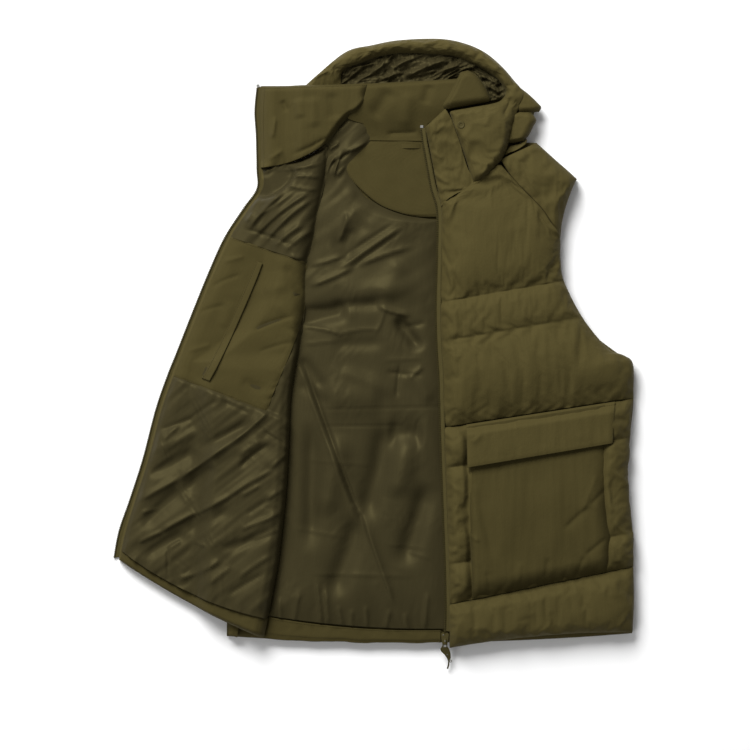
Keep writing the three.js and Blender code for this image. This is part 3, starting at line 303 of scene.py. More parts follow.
OPEN_LOWER_FOLDS = [
    (-412.1, 199.2, -347.7, 235.6, 4.5, 5, 1, 0.4), (-357.5, 230, -273.5, 287.4, 4.5, 6.5, 0, 0.4),
    (-287.5, 277.6, -220.3, 333.6, 4, 5.5, -2, 0.4), (-396.7, 237, -323.9, 276.2, 8, -6, -1, 0),
    (-330.9, 272, -245.5, 315.4, 7, -6, 0, 0), (-407.9, 161.4, -343.5, 221.6, 9, -6, 2, 0),
    (-351.9, 214.6, -298.7, 252.4, 8, -6, 0, 0), (-412.1, 141.8, -372.9, 160, 3.5, 4, 1, 0.4),
    (-382.7, 155.8, -321.1, 189.4, 3.5, 5.5, 1, 0.4), (-332.3, 182.4, -276.3, 211.8, 4, 4.5, 0, 0.3),
    (-290.3, 203.4, -213.3, 249.6, 4.5, 4.5, 2, 0.3), (-407.9, 122.2, -337.9, 160, 8, -6, 1, 0),
    (-346.3, 155.8, -276.3, 193.6, 8, -5, 0, 0), (-298.7, 132, -207.7, 165.6, 7, -5.5, -1, 0),
    (-357.5, 91.4, -323.9, 102.6, 3.5, 4.5, 0, 0.4), (-332.3, 98.4, -290.3, 120.8, 4, 4.5, 0, 0.3),
    (-270.7, 246.8, -223.1, 283.2, 6, -5, 3, 0), (-270.7, 263.6, -234.3, 288.8, 5, 4, 1, 0.3),
    (-393.9, 269.2, -321.1, 304.2, 7, 3.5, 0, 0), (-382.7, 300, -326.7, 322.4, 5, -4, -1, 0),
    (-337.9, 318.2, -294.5, 346.2, 5, -4, 0, 0), (-377.1, 284.6, -351.9, 308.4, 3, 3, 0, 0.3),
    (-295.9, 343.4, -251.1, 323.8, 2.5, -2.5, 0, 0), (-315.5, 83, -276.3, 112.4, 3.5, 3.5, 0, 0.3),
    (-288.9, 67.6, -227.3, 105.4, 5, -4.5, 1, 0), (-273.5, 91.4, -220.3, 129.2, 4, 4, 1, 0.3),
    (-270.7, 160, -204.9, 188, 4, 4, 0, 0.3), (-368.7, 137.6, -368.7, 94.2, 2.5, -3, 0, 0),
    (-370.1, 134.8, -349.1, 147.4, 2.5, 3, 0, 0), (-332.3, 146, -311.3, 137.6, 2.5, 2.5, 0, 0),
    (-340.7, 116.6, -314.1, 148.8, 3, 3, 0, 0.3), (-407.9, 185.2, -379.9, 192.2, 2.5, 2.5, 0, 0),
    (-267.9, 207.6, -237.1, 225.8, 3, 3, 0, 0.3), (-251.1, 147.4, -209.1, 164.2, 3.5, 3, 0, 0.3),
    (-237.1, 301.4, -200.7, 279, 3, -3, 0, 0), (-225.9, 245.4, -199.3, 270.6, 4, 3.5, 1, 0.3),
    (-231.5, 203.4, -202.1, 221.6, 4, 3.5, 0, 0.3), (-259.5, 182.4, -225.9, 206.2, 4, -3, 0, 0),
    (-382.7, 295.8, -367.3, 251, 1.8, 1.3, 0, 0), (-377.1, 295.8, -361.7, 253.8, 1.8, 1.3, 0, 0),
    (-358.9, 225.8, -339.3, 195, 1.8, 1.3, 0, 0), (-353.3, 228.6, -333.7, 197.8, 1.8, 1.3, 0, 0),
    (-339.3, 195, -325.3, 175.4, 1.8, 1.3, 0, 0), (-333.7, 197.8, -319.7, 178.2, 1.8, 1.3, 0, 0),
    (-318.3, 160, -305.7, 134.8, 1.8, 1.3, 0, 0), (-312.7, 162.8, -300.1, 137.6, 1.8, 1.3, 0, 0),
    (-294.5, 109.6, -291.7, 66.2, 1.8, 1.3, 0, 0), (-337.9, 350.4, -308.5, 293, 1.8, 1.3, 0, 0),
    (-332.3, 351.8, -302.9, 295.8, 1.8, 1.3, 0, 0),
]
CHEST_FOLDS = [
    (20.5, 587, 37.3, 624.8, 4, 3.5, 1, 0.3), (12.1, 605.2, 28.9, 617.8, 3, 2.5, 0, 0),
    (7.9, 592.6, 24.7, 601, 3, 2, 0, 0), (28.9, 536.6, 37.3, 589.8, 9, -1.6, 2, 0),
    (59.7, 494.6, 54.1, 573, 10, 1.4, 2, 0), (96.1, 504.4, 93.3, 581.4, 11, -1.4, 2, 0),
    (128.3, 514.2, 118.5, 601, 7, 1.8, 2, 0.3), (159.1, 517, 149.3, 587, 8, -1.6, 2, 0),
    (168.9, 441.4, 152.1, 483.4, 6, 1.2, 0, 0), (54.1, 430.2, 51.3, 466.6, 6, 1.2, 0, 0),
    (33.1, 371.4, 28.9, 413.4, 7, 1.2, 0, 0), (96.1, 337.8, 90.5, 413.4, 12, 1.2, 3, 0),
    (152.1, 349, 180.1, 410.6, 12, -1.4, 3, 0), (222.1, 354.6, 236.1, 405, 9, 1.4, 2, 0),
    (250.1, 354.6, 275.3, 396.6, 7, -1.6, 2, 0), (68.1, 321, 59.7, 360.2, 8, -1, 0, 0),
]
YOKE_FOLDS = [
    (118.5, 694.8, 143.7, 626.2, 5, 3, 1, 0.4), (105.9, 685, 108.7, 661.2, 4, 2.4, 0, 0),
    (163.3, 671, 174.5, 603.8, 8, 1.4, 0, 0), (180.1, 629, 188.5, 648.6, 5, -1.4, 0, 0),
]
LOWER_FOLDS = [
    (20.5, 119.4, 34.5, 139, 4, 2.5, 0, 0), (21.9, 69, 37.3, 94.2, 4, 2.5, 0, 0),
    (20.5, 231.4, 37.3, 214.6, 4, 2, 0, 0), (19.1, 175.4, 33.1, 164.2, 4, 1.6, 0, 0),
    (252.9, 245.4, 280.9, 223, 6, 2, 0, 0), (252.9, 175.4, 278.1, 147.4, 6, 2, 0, 0),
    (258.5, 125, 280.9, 99.8, 6, 2, 0, 0),
]
POCKET_FOLDS = [
    (62.5, 220.2, 86.3, 116.6, 7, -2.2, 2, 0), (45.7, 160, 68.1, 144.6, 4, 2, 0, 0),
    (244.5, 220.2, 220.7, 195, 4, -2, -1, 0.3), (222.1, 196.4, 182.9, 161.4, 5, -2.2, -1, 0.3),
    (245.9, 153, 212.3, 125, 4, -2, 0, 0.3), (213.7, 127.8, 201.1, 94.2, 5, -2, 0, 0),
    (231.9, 242.6, 208.1, 181, 6, 1.4, 0, 0), (96.1, 245.4, 101.7, 119.4, 12, 1.2, 2, 0),
    (138.1, 256.6, 143.7, 133.4, 13, -1.2, -2, 0), (174.5, 265, 168.9, 119.4, 11, 1.2, 2, 0),
    (124.1, 119.4, 121.3, 84.4, 6, 1.4, 0, 0), (163.3, 125, 157.7, 91.4, 6, -1.4, 0, 0),
    (76.5, 105.4, 82.1, 77.4, 5, -1.2, 0, 0),
]
FLAP_FOLDS = [
    (70.9, 297.2, 55.5, 283.2, 3.5, 2, 0, 0.3), (96.1, 309.8, 101.7, 262.2, 8, 0.8, 0, 0),
    (152.1, 321, 157.7, 273.4, 9, -0.8, 0, 0), (202.5, 329.4, 210.9, 281.8, 9, 0.8, 0, 0),
    (233.3, 335, 241.7, 287.4, 6, -0.8, 0, 0),
]
BAND_FOLDS = [
    (167.5, 32.6, 138.1, 7.4, 4, 2.5, 0, 0.3), (26.1, 7.4, 42.9, 41, 5, 2, 0, 0),
    (54.1, 46.6, 68.1, 66.2, 5, -1.5, 0, 0), (124.1, 69, 129.7, 35.4, 10, 1.2, 0, 0),
    (208.1, 88.6, 216.5, 46.6, 9, -1.2, 0, 0), (252.9, 99.8, 258.5, 63.4, 8, 1.4, 0, 0),
    (252.9, 21.4, 272.5, 38.2, 4, 1.6, 0, 0),
]
COLLAR_RIGHT_FOLDS = [
    (-209.1, 763.4, -200.7, 746.6, 5, -1.6, 0, 0), (-223.1, 707.4, -217.5, 741, 4, 1.4, 0, 0),
    (-188.1, 766.2, -183.9, 735.4, 7, 1.6, 0, 0), (-111.1, 738.2, -133.5, 721.4, 6, -2.5, -2, 0.4),
    (-91.5, 769, -113.9, 741, 6, 2, 0, 0.3), (-228.7, 679.4, -206.3, 693.4, 5, 1.4, 0, 0),
    (-197.9, 685, -141.9, 713, 5, -1.8, -2, 0), (-169.9, 769, -164.3, 721.4, 10, 1.6, 2, 0),
    (-141.9, 774.6, -136.3, 732.6, 9, -1.4, 2, 0),
]
COLLAR_BACK_FOLDS = [
    (-83.1, 735.4, -52.3, 777.4, 10, -2, 3, 0), (-29.9, 777.4, -38.3, 721.4, 10, 1.4, 0, 0),
    (-1.9, 785.8, -10.3, 755, 7, -1.4, 0, 0), (-66.3, 715.8, -15.9, 718.6, 5, -1.6, 0, 0),
]
COLLAR_LEFT_FOLDS = [
    (7.9, 636, 51.3, 638.8, 3.5, 3, 1, 0.3), (-0.5, 661.2, 26.1, 644.4, 3.5, 3, 0, 0.3),
    (9.3, 619.2, 42.9, 634.6, 3.5, 3, 0, 0.3), (-4.7, 693.4, 17.7, 679.4, 4, 2, 0, 0),
    (17.7, 707.4, 28.9, 651.4, 7, -2, 2, 0), (3.7, 714.4, 20.5, 729.8, 4, 1.6, 0, 0),
    (20.5, 612.2, 34.5, 623.4, 3, 2, 0, 0),
]
HOOD_FOLDS = [
    (-125.1, 791.4, -113.9, 813.8, 4, 4.5, 2, 0.3), (-113.9, 792.8, -91.5, 811, 3.5, 5, 2, 0.4),
    (-102.7, 791.4, -74.7, 808.2, 3.5, 4.5, -2, 0.3), (-83.1, 797, -55.1, 819.4, 3.5, 5, 2, 0.4),
    (-71.9, 791.4, -43.9, 802.6, 3, 4, 0, 0), (-55.1, 805.4, -15.9, 822.2, 3.5, 5, 3, 0.4),
    (-38.3, 797, -1.9, 813.8, 3.5, 4.5, -2, 0.4), (-15.9, 802.6, 23.3, 819.4, 3.5, 5, 2, 0.3),
    (6.5, 799.8, 42.9, 811, 3.5, 4.5, 2, 0.4), (-99.9, 802.6, -111.1, 791.4, 3, -4, 0, 0),
    (-27.1, 811, -46.7, 794.2, 3.5, -4, 0, 0), (17.7, 811, -1.9, 797, 3.5, -4, 0, 0),
    (65.3, 797, 96.1, 783, 3.5, 4, 2, 0.3), (73.7, 785.8, 98.9, 771.8, 3, 4, 0, 0),
    (82.1, 771.8, 98.9, 766.2, 3, 3, 0, 0), (54.1, 811, 76.5, 797, 3, 4, 0, 0),
]
HOOD_FRONT_FOLDS = [
    (112.9, 774.6, 84.9, 757.8, 6, 2, 0, 0.3), (98.9, 735.4, 112.9, 769, 5, -2, 0, 0),
    (65.3, 637.4, 82.1, 679.4, 6, 2.4, 2, 0.3), (51.3, 665.4, 65.3, 707.4, 8, -2, 2, 0),
    (90.5, 673.8, 104.5, 707.4, 6, 2, 0, 0.3), (28.9, 741, 54.1, 749.4, 4, -1.6, 0, 0),
    (-127.9, 822.2, -113.9, 827.8, 5, -1.6, 0, 0), (-83.1, 837.6, -74.7, 825, 5, 1.6, 0, 0),
    (-29.9, 847.4, -27.1, 830.6, 6, -1.4, 0, 0), (26.1, 844.6, 20.5, 827.8, 6, 1.4, 0, 0),
    (70.9, 830.6, 56.9, 816.6, 5, -1.8, 0, 0), (96.1, 811, 82.1, 799.8, 5, 1.8, 0, 0),
    (118.5, 785.8, 101.7, 780.2, 5, -1.8, 0, 0), (-150.3, 805.4, -136.3, 797, 5, 1.6, 0, 0),
    (73.7, 721.4, 82.1, 746.6, 6, 1.6, 0, 0), (42.9, 704.6, 51.3, 724.2, 5, 1.4, 0, 0),
]
SHOULDER_FOLDS = [
    (-136.3, 654.2, -123.7, 690.6, 3.5, 3.5, 2, 0.4), (-125.1, 689.2, -85.9, 706, 3, 3.5, -2, 0.3),
    (-147.5, 657, -133.5, 685, 3.5, 3.5, 2, 0.3), (-141.9, 671, -111.1, 693.4, 3, -3, 0, 0),
    (-119.5, 671, -133.5, 657, 3, 3, 0, 0), (-144.7, 693.4, -127.9, 703.2, 3, 3, 0, 0),
]


class VestSizes(bpy.types.PropertyGroup):
    """Sizes that change how full and how creased the vest looks."""
    loft: FloatProperty(name="Loft", description="Height of a full channel of the closed front",
                        default=0.0265, min=0.01, max=0.04, unit="LENGTH")
    open_loft: FloatProperty(name="Opened loft", description="Height of the opened front's padding",
                             default=0.015, min=0.005, max=0.03, unit="LENGTH")
    hood_loft: FloatProperty(name="Hood loft", description="Height of the hood's padded front edge",
                             default=0.035, min=0.01, max=0.05, unit="LENGTH")
    crumple: FloatProperty(name="Crumple", description="Height of the small folds of the lining",
                           default=0.0013, min=0, max=0.004, unit="LENGTH")
    pucker: FloatProperty(name="Pucker", description="Height of the gathers beside a sewn seam",
                          default=0.0014, min=0, max=0.004, unit="LENGTH")
    tooth: FloatProperty(name="Tooth pitch", description="From one zip tooth to the next",
                         default=0.0026, min=0.0015, max=0.005, unit="LENGTH")


class VestColours(bpy.types.PropertyGroup):
    """Colours of the cloths, the zip and the floor."""
    shell: FloatVectorProperty(name="Shell", description="Matt outer cloth", subtype="COLOR", size=3,
                               min=0, max=1, default=(0.0540, 0.0432, 0.0146))
    lining: FloatVectorProperty(name="Lining", description="Thin shiny lining", subtype="COLOR", size=3,
                                min=0, max=1, default=(0.0338, 0.0280, 0.0124))
    tape: FloatVectorProperty(name="Tape", description="Woven zip tape and its teeth", subtype="COLOR",
                              size=3, min=0, max=1, default=(0.056, 0.046, 0.0165))
    lacquer: FloatVectorProperty(name="Lacquer", description="Slider, pull tab and snap", subtype="COLOR",
                                 size=3, min=0, max=1, default=(0.052, 0.043, 0.0155))
    floor: FloatVectorProperty(name="Floor", description="Paper that the vest lies on", subtype="COLOR",
                               size=3, min=0, max=1, default=(0.95, 0.95, 0.95))


def smooth(t):
    """0 below 0, 1 above 1, and a soft step between."""
    c = np.clip(t, 0, 1)
    return c * c * (3 - 2 * c)


def at_least(a, low, blend):
    """a, but no lower than low, with a soft turn between."""
    return (a + low + np.sqrt((a - low) ** 2 + blend * blend)) / 2


def dome(distance, reach):
    """0 at a sewn edge, rising like a quarter of an ellipse to 1 at reach from it."""
    rest = 1 - np.clip(distance / reach, 0, 1)
    return np.sqrt(1 - rest * rest)


def noise(x, y, seed):
    """Gradient noise: random slopes on whole numbers, blended with the fifth-power step. About -1 to 1."""
    turn = np.random.default_rng(seed).uniform(0, 2 * np.pi, (64, 64))
    x, y = np.broadcast_arrays(x, y)
    i, j = np.floor(x).astype(int), np.floor(y).astype(int)
    f, g = x - i, y - j

    def corner(a, b):
        """How high the slope on a cell's corner is here."""
        angle = turn[(i + a) % 64, (j + b) % 64]
        return np.cos(angle) * (f - a) + np.sin(angle) * (g - b)

    u, v = (w * w * w * (w * (6 * w - 15) + 10) for w in (f, g))
    low = corner(0, 0) * (1 - u) + corner(1, 0) * u
    high = corner(0, 1) * (1 - u) + corner(1, 1) * u
    return 1.5 * (low * (1 - v) + high * v)


def crumpled(x, y, size, angle, seed, stretch=2.6):
    """Small folds of thin cloth, -1 to 1: three layers of ridges, each where a noise crosses zero, drawn out
    along angle and bent by a slower noise."""
    c, s = math.cos(math.radians(angle)), math.sin(math.radians(angle))
    a = (x * c + y * s) / (size * stretch)
    b = (y * c - x * s) / size
    bend = noise(a * 0.6, b * 0.4, seed + 7)
    layers = [0.55**k * (1 - 3 * np.abs(noise(a * 1.9**k + bend, b * 1.9**k - bend, seed + k)))
              for k in range(3)]
    return sum(layers) / 1.85


def folds(table, x, y, scale=1):
    """Height that a table of folds adds, times scale. Each fades out over the quarter at each end and is
    broader on its right where it leans. A broad one is rounded like a bell, and a narrow one has a sharp
    crest and hollow flanks."""
    total = np.zeros(np.shape(x))
    for x0, y0, x1, y1, wide, high, bow, lean in table:
        dx, dy = x1 - x0, y1 - y0
        length = math.hypot(dx, dy)
        t = ((x - x0) * dx + (y - y0) * dy) / length**2
        off = ((y - y0) * dx - (x - x0) * dy) / length - 4 * bow * t * (1 - t)
        reach = wide * np.where(off < 0, 1 - 0.5 * lean, 1 + 2.5 * lean)
        away = np.abs(off / reach)
        section = np.exp(-(away**2)) if wide >= 7 else np.exp(0.45 - np.sqrt(0.2 + 4 * away**2))
        total += high * smooth(t / 0.25) * smooth((1 - t) / 0.25) * section
    return scale * total


def gathers(along, off, pitch, depth, reach, seed):
    """Gathers that start at a seam: rounded ridges with sharp troughs between, at about pitch along it, of
    depth, that fade out within reach of it."""
    wander = 0.8 * noise(along / (5 * pitch), off / (2 * reach), seed + 1)
    waves = 2.2 * np.abs(noise(along / (2 * pitch) + wander, off / (4 * reach), seed)) - 0.6
    return depth * np.exp(-off / reach) * waves


def curve(rows, t):
    """Both edges at t: Catmull-Rom curves through the rows' ends that stop and start again at a corner."""
    p = rows.edge
    last = len(p) - 1
    i = np.clip(t.astype(int), 0, last - 1)
    f = (t - i)[:, None]
    broken = np.isin(np.arange(last + 1), [0, last, *rows.corner])
    before = np.where(broken[i][:, None], p[i], p[np.maximum(i - 1, 0)])
    after = np.where(broken[i + 1][:, None], p[i + 1], p[np.minimum(i + 2, last)])
    b, c = p[i], p[i + 1]
    return b + f / 2 * (c - before + f * (2 * before - 5 * b + 4 * c - after
                                          + f * (3 * (b - c) + after - before)))


def spread(length, cell):
    """Places along a length, a cell apart, and one close to each end."""
    even = np.linspace(0, length, max(2, round(length / cell)) + 1)
    return np.unique(np.concatenate([even, [0.8, length - 0.8]]).clip(0, length))


def lay(rows, cell, first=0, last=None, share=(0, 1), grow=(0, 0), wobble=(0, 0)):
    """The grid of a piece, from its first to its last row and across a share of each: x, y, the shares u and
    t, the millimetres to each edge, and how far down each quilting line is. grow pushes the side edges out,
    and wobble makes them waver."""
    last = len(rows.edge) - 1 if last is None else last
    fine = np.linspace(first, last, 400)
    ends = curve(rows, fine)
    middle = (ends[:, :2] + ends[:, 2:]) / 2
    run = np.concatenate([[0], np.cumsum(np.hypot(*np.diff(middle, axis=0).T))])
    names = sorted({first, last, *[row for row in rows.line if first < row < last]})
    stops = np.interp(names, fine, run)
    even = spread(run[-1], cell)
    clear = np.abs(even[:, None] - stops).min(axis=1) > 1.2
    down = np.unique(np.concatenate([even[clear], stops, [0.8, run[-1] - 0.8]]).clip(0, run[-1]))
    t = np.interp(down, run, fine)
    ends = curve(rows, t)
    left, right = ends[:, :2], ends[:, 2:]
    step = right - left
    width = np.hypot(*step.T)[:, None]
    way = step / width
    waver = [w * noise(down / 14 + 40 * k, 0.5, 300 + k)[:, None] for k, w in enumerate(wobble)]
    left, right = left - way * (grow[0] + waver[0]), right + way * (grow[1] + waver[1])
    width = width + sum(grow)
    wide = width.max() * (share[1] - share[0])
    u = share[0] + spread(wide, cell) / width.max()
    u = u[None, :]
    bow = np.interp(t, range(len(rows.edge)), [rows.bow.get(k, 0) for k in range(len(rows.edge))])[:, None]
    lift = 4 * u * (1 - u) * bow
    x = left[:, :1] * (1 - u) + right[:, :1] * u - way[:, 1:] * lift
    y = left[:, 1:] * (1 - u) + right[:, 1:] * u + way[:, :1] * lift

    def full(a):
        """The same values all over the grid."""
        return np.broadcast_to(a, x.shape)

    return SimpleNamespace(
        x=x, y=y, u=full(u), t=full(t[:, None]), width=full(width), down=full(down[:, None]),
        left=(u - share[0]) * width, right=(share[1] - u) * width, across=u * width,
        above=full(down[:, None]), below=full(down[-1] - down[:, None]), stops=dict(zip(names, stops)))


def ease(distance, reach):
    """0 at a sewn edge, rising with a slope to 1 at reach from it, where it is level."""
    rest = 1 - np.clip(distance / reach, 0, 1)
    return 1 - rest * rest


def puff(c, loft, edges, lines=()):
    """Height of a padded piece. Each edge gives its side, its height, the reach from there to the full loft,
    and the shape of the rise. Each quilting line gives its row, its depth, and its reach above and below."""
    top = loft
    for row, depth, up, down in lines:
        d = c.down - c.stops[row]
        top = top - depth * (1 - ease(np.abs(d), np.where(d < 0, up, down))) - 0.8 * np.exp(-((d / 1.3) ** 2))
    for side, height, reach, shape in edges:
        top = height + (top - height) * shape(getattr(c, side), reach)
    return top


def puckers(c, seed, lines=(), edges=("left", "right", "above", "below"), depth=1.5):
    """Gathers along the quilting lines and the sewn edges, slow swells of the padding, and faint upright
    folds."""
    total = 0.9 * noise(c.x / 38, c.y / 70, seed) + 0.35 * noise(c.x / 13, c.y / 95, seed + 1)
    total = total + 0.16 * noise(c.x / 4.5, c.y / 50, seed + 2)
    for n, row in enumerate(lines):
        total = total + gathers(c.across, np.abs(c.down - c.stops[row]), 13, depth, 15, seed + 10 * n + 3)
    for n, side in enumerate(edges):
        along = c.down if side in ("left", "right") else c.across
        total = total + gathers(along, getattr(c, side), 10, 1.25 * depth, 10, seed + 10 * n + 5)
    return total


def edge_x(rows, side, y):
    """Where a table's left (0) or right (2) edge is at a height y."""
    return np.interp(-y, -rows.edge[:, side + 1], rows.edge[:, side])


def under_open_front(x, y):
    """Underside of the opened front: on the surface, then over the back's edge, then over its own tucked
    part."""
    back, fold = edge_x(BACK, 0, y), edge_x(OPEN_FRONT, 2, y)
    climb = (STACK + 0.5) * smooth((x - back + 56) / 34)
    tucked = smooth((410 - y) / 26) * smooth((x - back + 48) / 30)
    return climb + 6 * tucked * (1 - smooth((x - fold + 16) / 14))


def hollow_under_collar(x, y):
    """1 in the long hollow where the opened front sinks under the collar's lower edge, and 0 outside it."""
    along, across = (x + 222) * 0.82 + (y - 648) * 0.57, (y - 648) * 0.82 - (x + 222) * 0.57
    return np.exp(-(((along / 33) ** 2 + (across / 15) ** 2) ** 3))


def upper_fold(y):
    """1 where the opened front's fold has gone soft, beside the yoke, and 0 beside the pockets and below."""
    return smooth((y - 380) / 130)


def over_open_front(c, loft):
    """Top of the opened front's padding: full inside, rolled over at the fold, and thin at the zip and
    hem."""
    under = under_open_front(c.x, c.y)
    fold = edge_x(OPEN_FRONT, 2, c.y)
    full = under + loft - 4 + 3 * smooth((c.x - fold + 60) / 50)
    full = full * (1 - hollow_under_collar(c.x, c.y))
    shape = ease(c.above + 3, 20) * dome(c.below + 3, 9) * ease(c.left + 3, 27)
    shape = shape * dome(c.right + 0.6, 8 + 18 * upper_fold(c.y))
    return np.maximum(under + 2.5, 4 + full * shape)


def closed_mesh(name, c, top, bottom):
    """A closed piece from an upper and a lower height over one grid, its rims joined by a wall. Its UV map
    holds metres across and down the cloth."""
    rows, columns = c.x.shape
    count = rows * columns
    bottom = np.broadcast_to(bottom, top.shape)
    xy = np.stack([c.x - MIDDLE[0], c.y - MIDDLE[1]], axis=-1).reshape(-1, 2)
    spots = np.concatenate([np.column_stack([xy, top.ravel()]), np.column_stack([xy, bottom.ravel()])]) / 1000
    index = np.arange(count).reshape(rows, columns)
    a, b, d, e = (index[:-1, :-1], index[1:, :-1], index[1:, 1:], index[:-1, 1:])
    upper = np.stack([a, b, d, e], axis=-1).reshape(-1, 4)
    rim = np.concatenate([index[:, 0], index[-1, 1:], index[-2::-1, -1], index[0, -2:0:-1]])
    after = np.roll(rim, -1)
    wall = np.stack([rim, rim + count, after + count, after], axis=-1)
    faces = np.concatenate([upper, upper[:, ::-1] + count, wall])
    p, q, r = (spots[upper[len(upper) // 2, k]] for k in range(3))
    if np.cross(q - p, r - p)[2] < 0:
        faces = faces[:, ::-1]
    mesh = bpy.data.meshes.new(name)
    mesh.from_pydata(spots, [], faces)
    chart = np.tile(np.stack([c.across, c.down], axis=-1).reshape(-1, 2) / 1000, (2, 1))
    corners = np.empty(len(mesh.loops), int)
    mesh.loops.foreach_get("vertex_index", corners)
    mesh.uv_layers.new(name="cloth").data.foreach_set("uv", chart[corners].ravel())
    mesh.shade_smooth()
    obj = bpy.data.objects.new(name, mesh)
    bpy.context.collection.objects.link(obj)
    return obj


def sew(obj, cloth, body="garment", nodes=()):
    """Gives a piece its cloth and body, and hides the solids that it stands for."""
    obj.data.materials.clear()
    obj.data.materials.append(MATERIALS[cloth])
    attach(obj, body)
    if nodes:
        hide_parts(*nodes)
    return obj


def inflate(obj, c, rows, grow, pressure, cap):
    """Blows up the upper cloth, which is larger than its seams by grow, so that it puckers beside them. The
    rim, the underside, the quilting lines at rows and what the grid marks as not free are held. No point
    moves further than cap, in metres."""
    held = np.ones(len(obj.data.vertices))
    edge = np.minimum(np.minimum(c.left, c.right), np.minimum(c.above, c.below))
    for row in rows:
        edge = np.minimum(edge, np.abs(c.down - c.stops[row]))
    edge = edge * getattr(c, "free", 1)
    held[:edge.size] = (edge < 1.9).ravel()
    group = obj.vertex_groups.new(name="held")
    group.add(np.flatnonzero(held > 0.5).tolist(), 1, "REPLACE")
    modifier = obj.modifiers.new("puff", "CLOTH")
    cloth = modifier.settings
    cloth.quality = 5
    cloth.mass = 0.25
    cloth.tension_stiffness = cloth.compression_stiffness = 12
    cloth.shear_stiffness = 4
    cloth.bending_stiffness = 0.15
    cloth.air_damping = 3
    cloth.shrink_min = -grow
    cloth.use_pressure = True
    cloth.uniform_pressure_force = pressure
    cloth.vertex_group_mass = "held"
    cloth.effector_weights.gravity = 0
    scene = bpy.context.scene
    modifier.point_cache.frame_end = 20
    for frame in range(1, 21):
        scene.frame_set(frame)
    blown = obj.evaluated_get(bpy.context.evaluated_depsgraph_get()).data
    count = len(obj.data.vertices)
    before, after = np.empty(count * 3), np.empty(count * 3)
    obj.data.vertices.foreach_get("co", before)
    blown.vertices.foreach_get("co", after)
    move = (after - before).reshape(-1, 3)
    far = np.linalg.norm(move, axis=1)[:, None]
    move *= np.minimum(1, cap / np.maximum(far, 1e-9))
    obj.modifiers.remove(modifier)
    obj.data.vertices.foreach_set("co", before + move.ravel())
    scene.frame_set(1)


def padded(name, c, top, bottom, cloth="shell", nodes=(), blow=None):
    """A padded piece: two cloths with filling between them, sewn together at the rim. blow holds the quilting
    lines, the upper cloth's spare size, the pressure and the cap for blowing it up."""
    obj = closed_mesh(name, c, top, bottom)
    if blow:
        inflate(obj, c, *blow)
        finer = obj.modifiers.new("finer", "SUBSURF")
        finer.levels = finer.render_levels = 1
    return sew(obj, cloth, nodes=nodes)


def sheet(name, c, top, cloth, nodes=(), thick=0.5):
    """A thin cloth that lies on other pieces."""
    obj = sew(closed_mesh(name, c, top, top - thick), cloth, nodes=nodes)
    return obj


def copies(name, spots, along, shape, cloth):
    """Many copies of one small shape in one mesh, each at a spot, its own x turned along the line there."""
    verts, faces = shape
    side = np.cross([0, 0, 1], along)
    side /= np.linalg.norm(side, axis=1)[:, None]
    up = np.cross(along, side)
    turned = verts[:, 0, None, None] * along + verts[:, 1, None, None] * side + verts[:, 2, None, None] * up
    points = (turned + spots).transpose(1, 0, 2).reshape(-1, 3)
    faces = (faces[None] + np.arange(len(spots))[:, None, None] * len(verts)).reshape(-1, faces.shape[1])
    mesh = bpy.data.meshes.new(name)
    mesh.from_pydata((points - [*MIDDLE, 0]) / 1000, [], faces)
    obj = bpy.data.objects.new(name, mesh)
    bpy.context.collection.objects.link(obj)
    return sew(obj, cloth)


def block(long, wide, high, taper=0.7):
    """A small block, narrower on top, round the origin."""
    x, y, z = long / 2, wide / 2, high / 2
    verts = [(sx * x * k, sy * y * k, sz * z) for sz, k in ((-1, 1), (1, taper))
             for sx, sy in ((-1, -1), (1, -1), (1, 1), (-1, 1))]
    faces = [(3, 2, 1, 0), (4, 5, 6, 7), (0, 1, 5, 4), (1, 2, 6, 5), (2, 3, 7, 6), (3, 0, 4, 7)]
    return np.array(verts), np.array(faces)


def evenly(path, pitch):
    """Points a pitch apart along a path, and its direction at each."""
    run = np.concatenate([[0], np.cumsum(np.linalg.norm(np.diff(path, axis=0), axis=1))])
    at = np.arange(pitch / 2, run[-1], pitch)
    ahead = np.column_stack([np.interp(at + 0.5, run, path[:, k]) for k in range(3)])
    behind = np.column_stack([np.interp(at - 0.5, run, path[:, k]) for k in range(3)])
    along = ahead - behind
    return (ahead + behind) / 2, along / np.linalg.norm(along, axis=1)[:, None]


def stitches(name, paths, pitch=3.4, long=2.5):
    """Rows of stitches: a low thread block for each, a pitch apart along the paths."""
    rows = [evenly(path, pitch) for path in paths]
    spots = np.concatenate([r[0] for r in rows])
    along = np.concatenate([r[1] for r in rows])
    return copies(name, spots, along, block(long, 0.7, 0.5), "thread")


def beside(c, top, edge, inset, lift=0.15):
    """The points of a grid's own row or column that is inset from an edge, lifted off its surface."""
    points = np.stack([c.x, c.y, top + lift], axis=-1)
    gap = getattr(c, edge)
    if edge in ("left", "right"):
        return points[:, np.abs(gap[len(gap) // 2] - inset).argmin()]
    return points[np.abs(gap[:, gap.shape[1] // 2] - inset).argmin()]


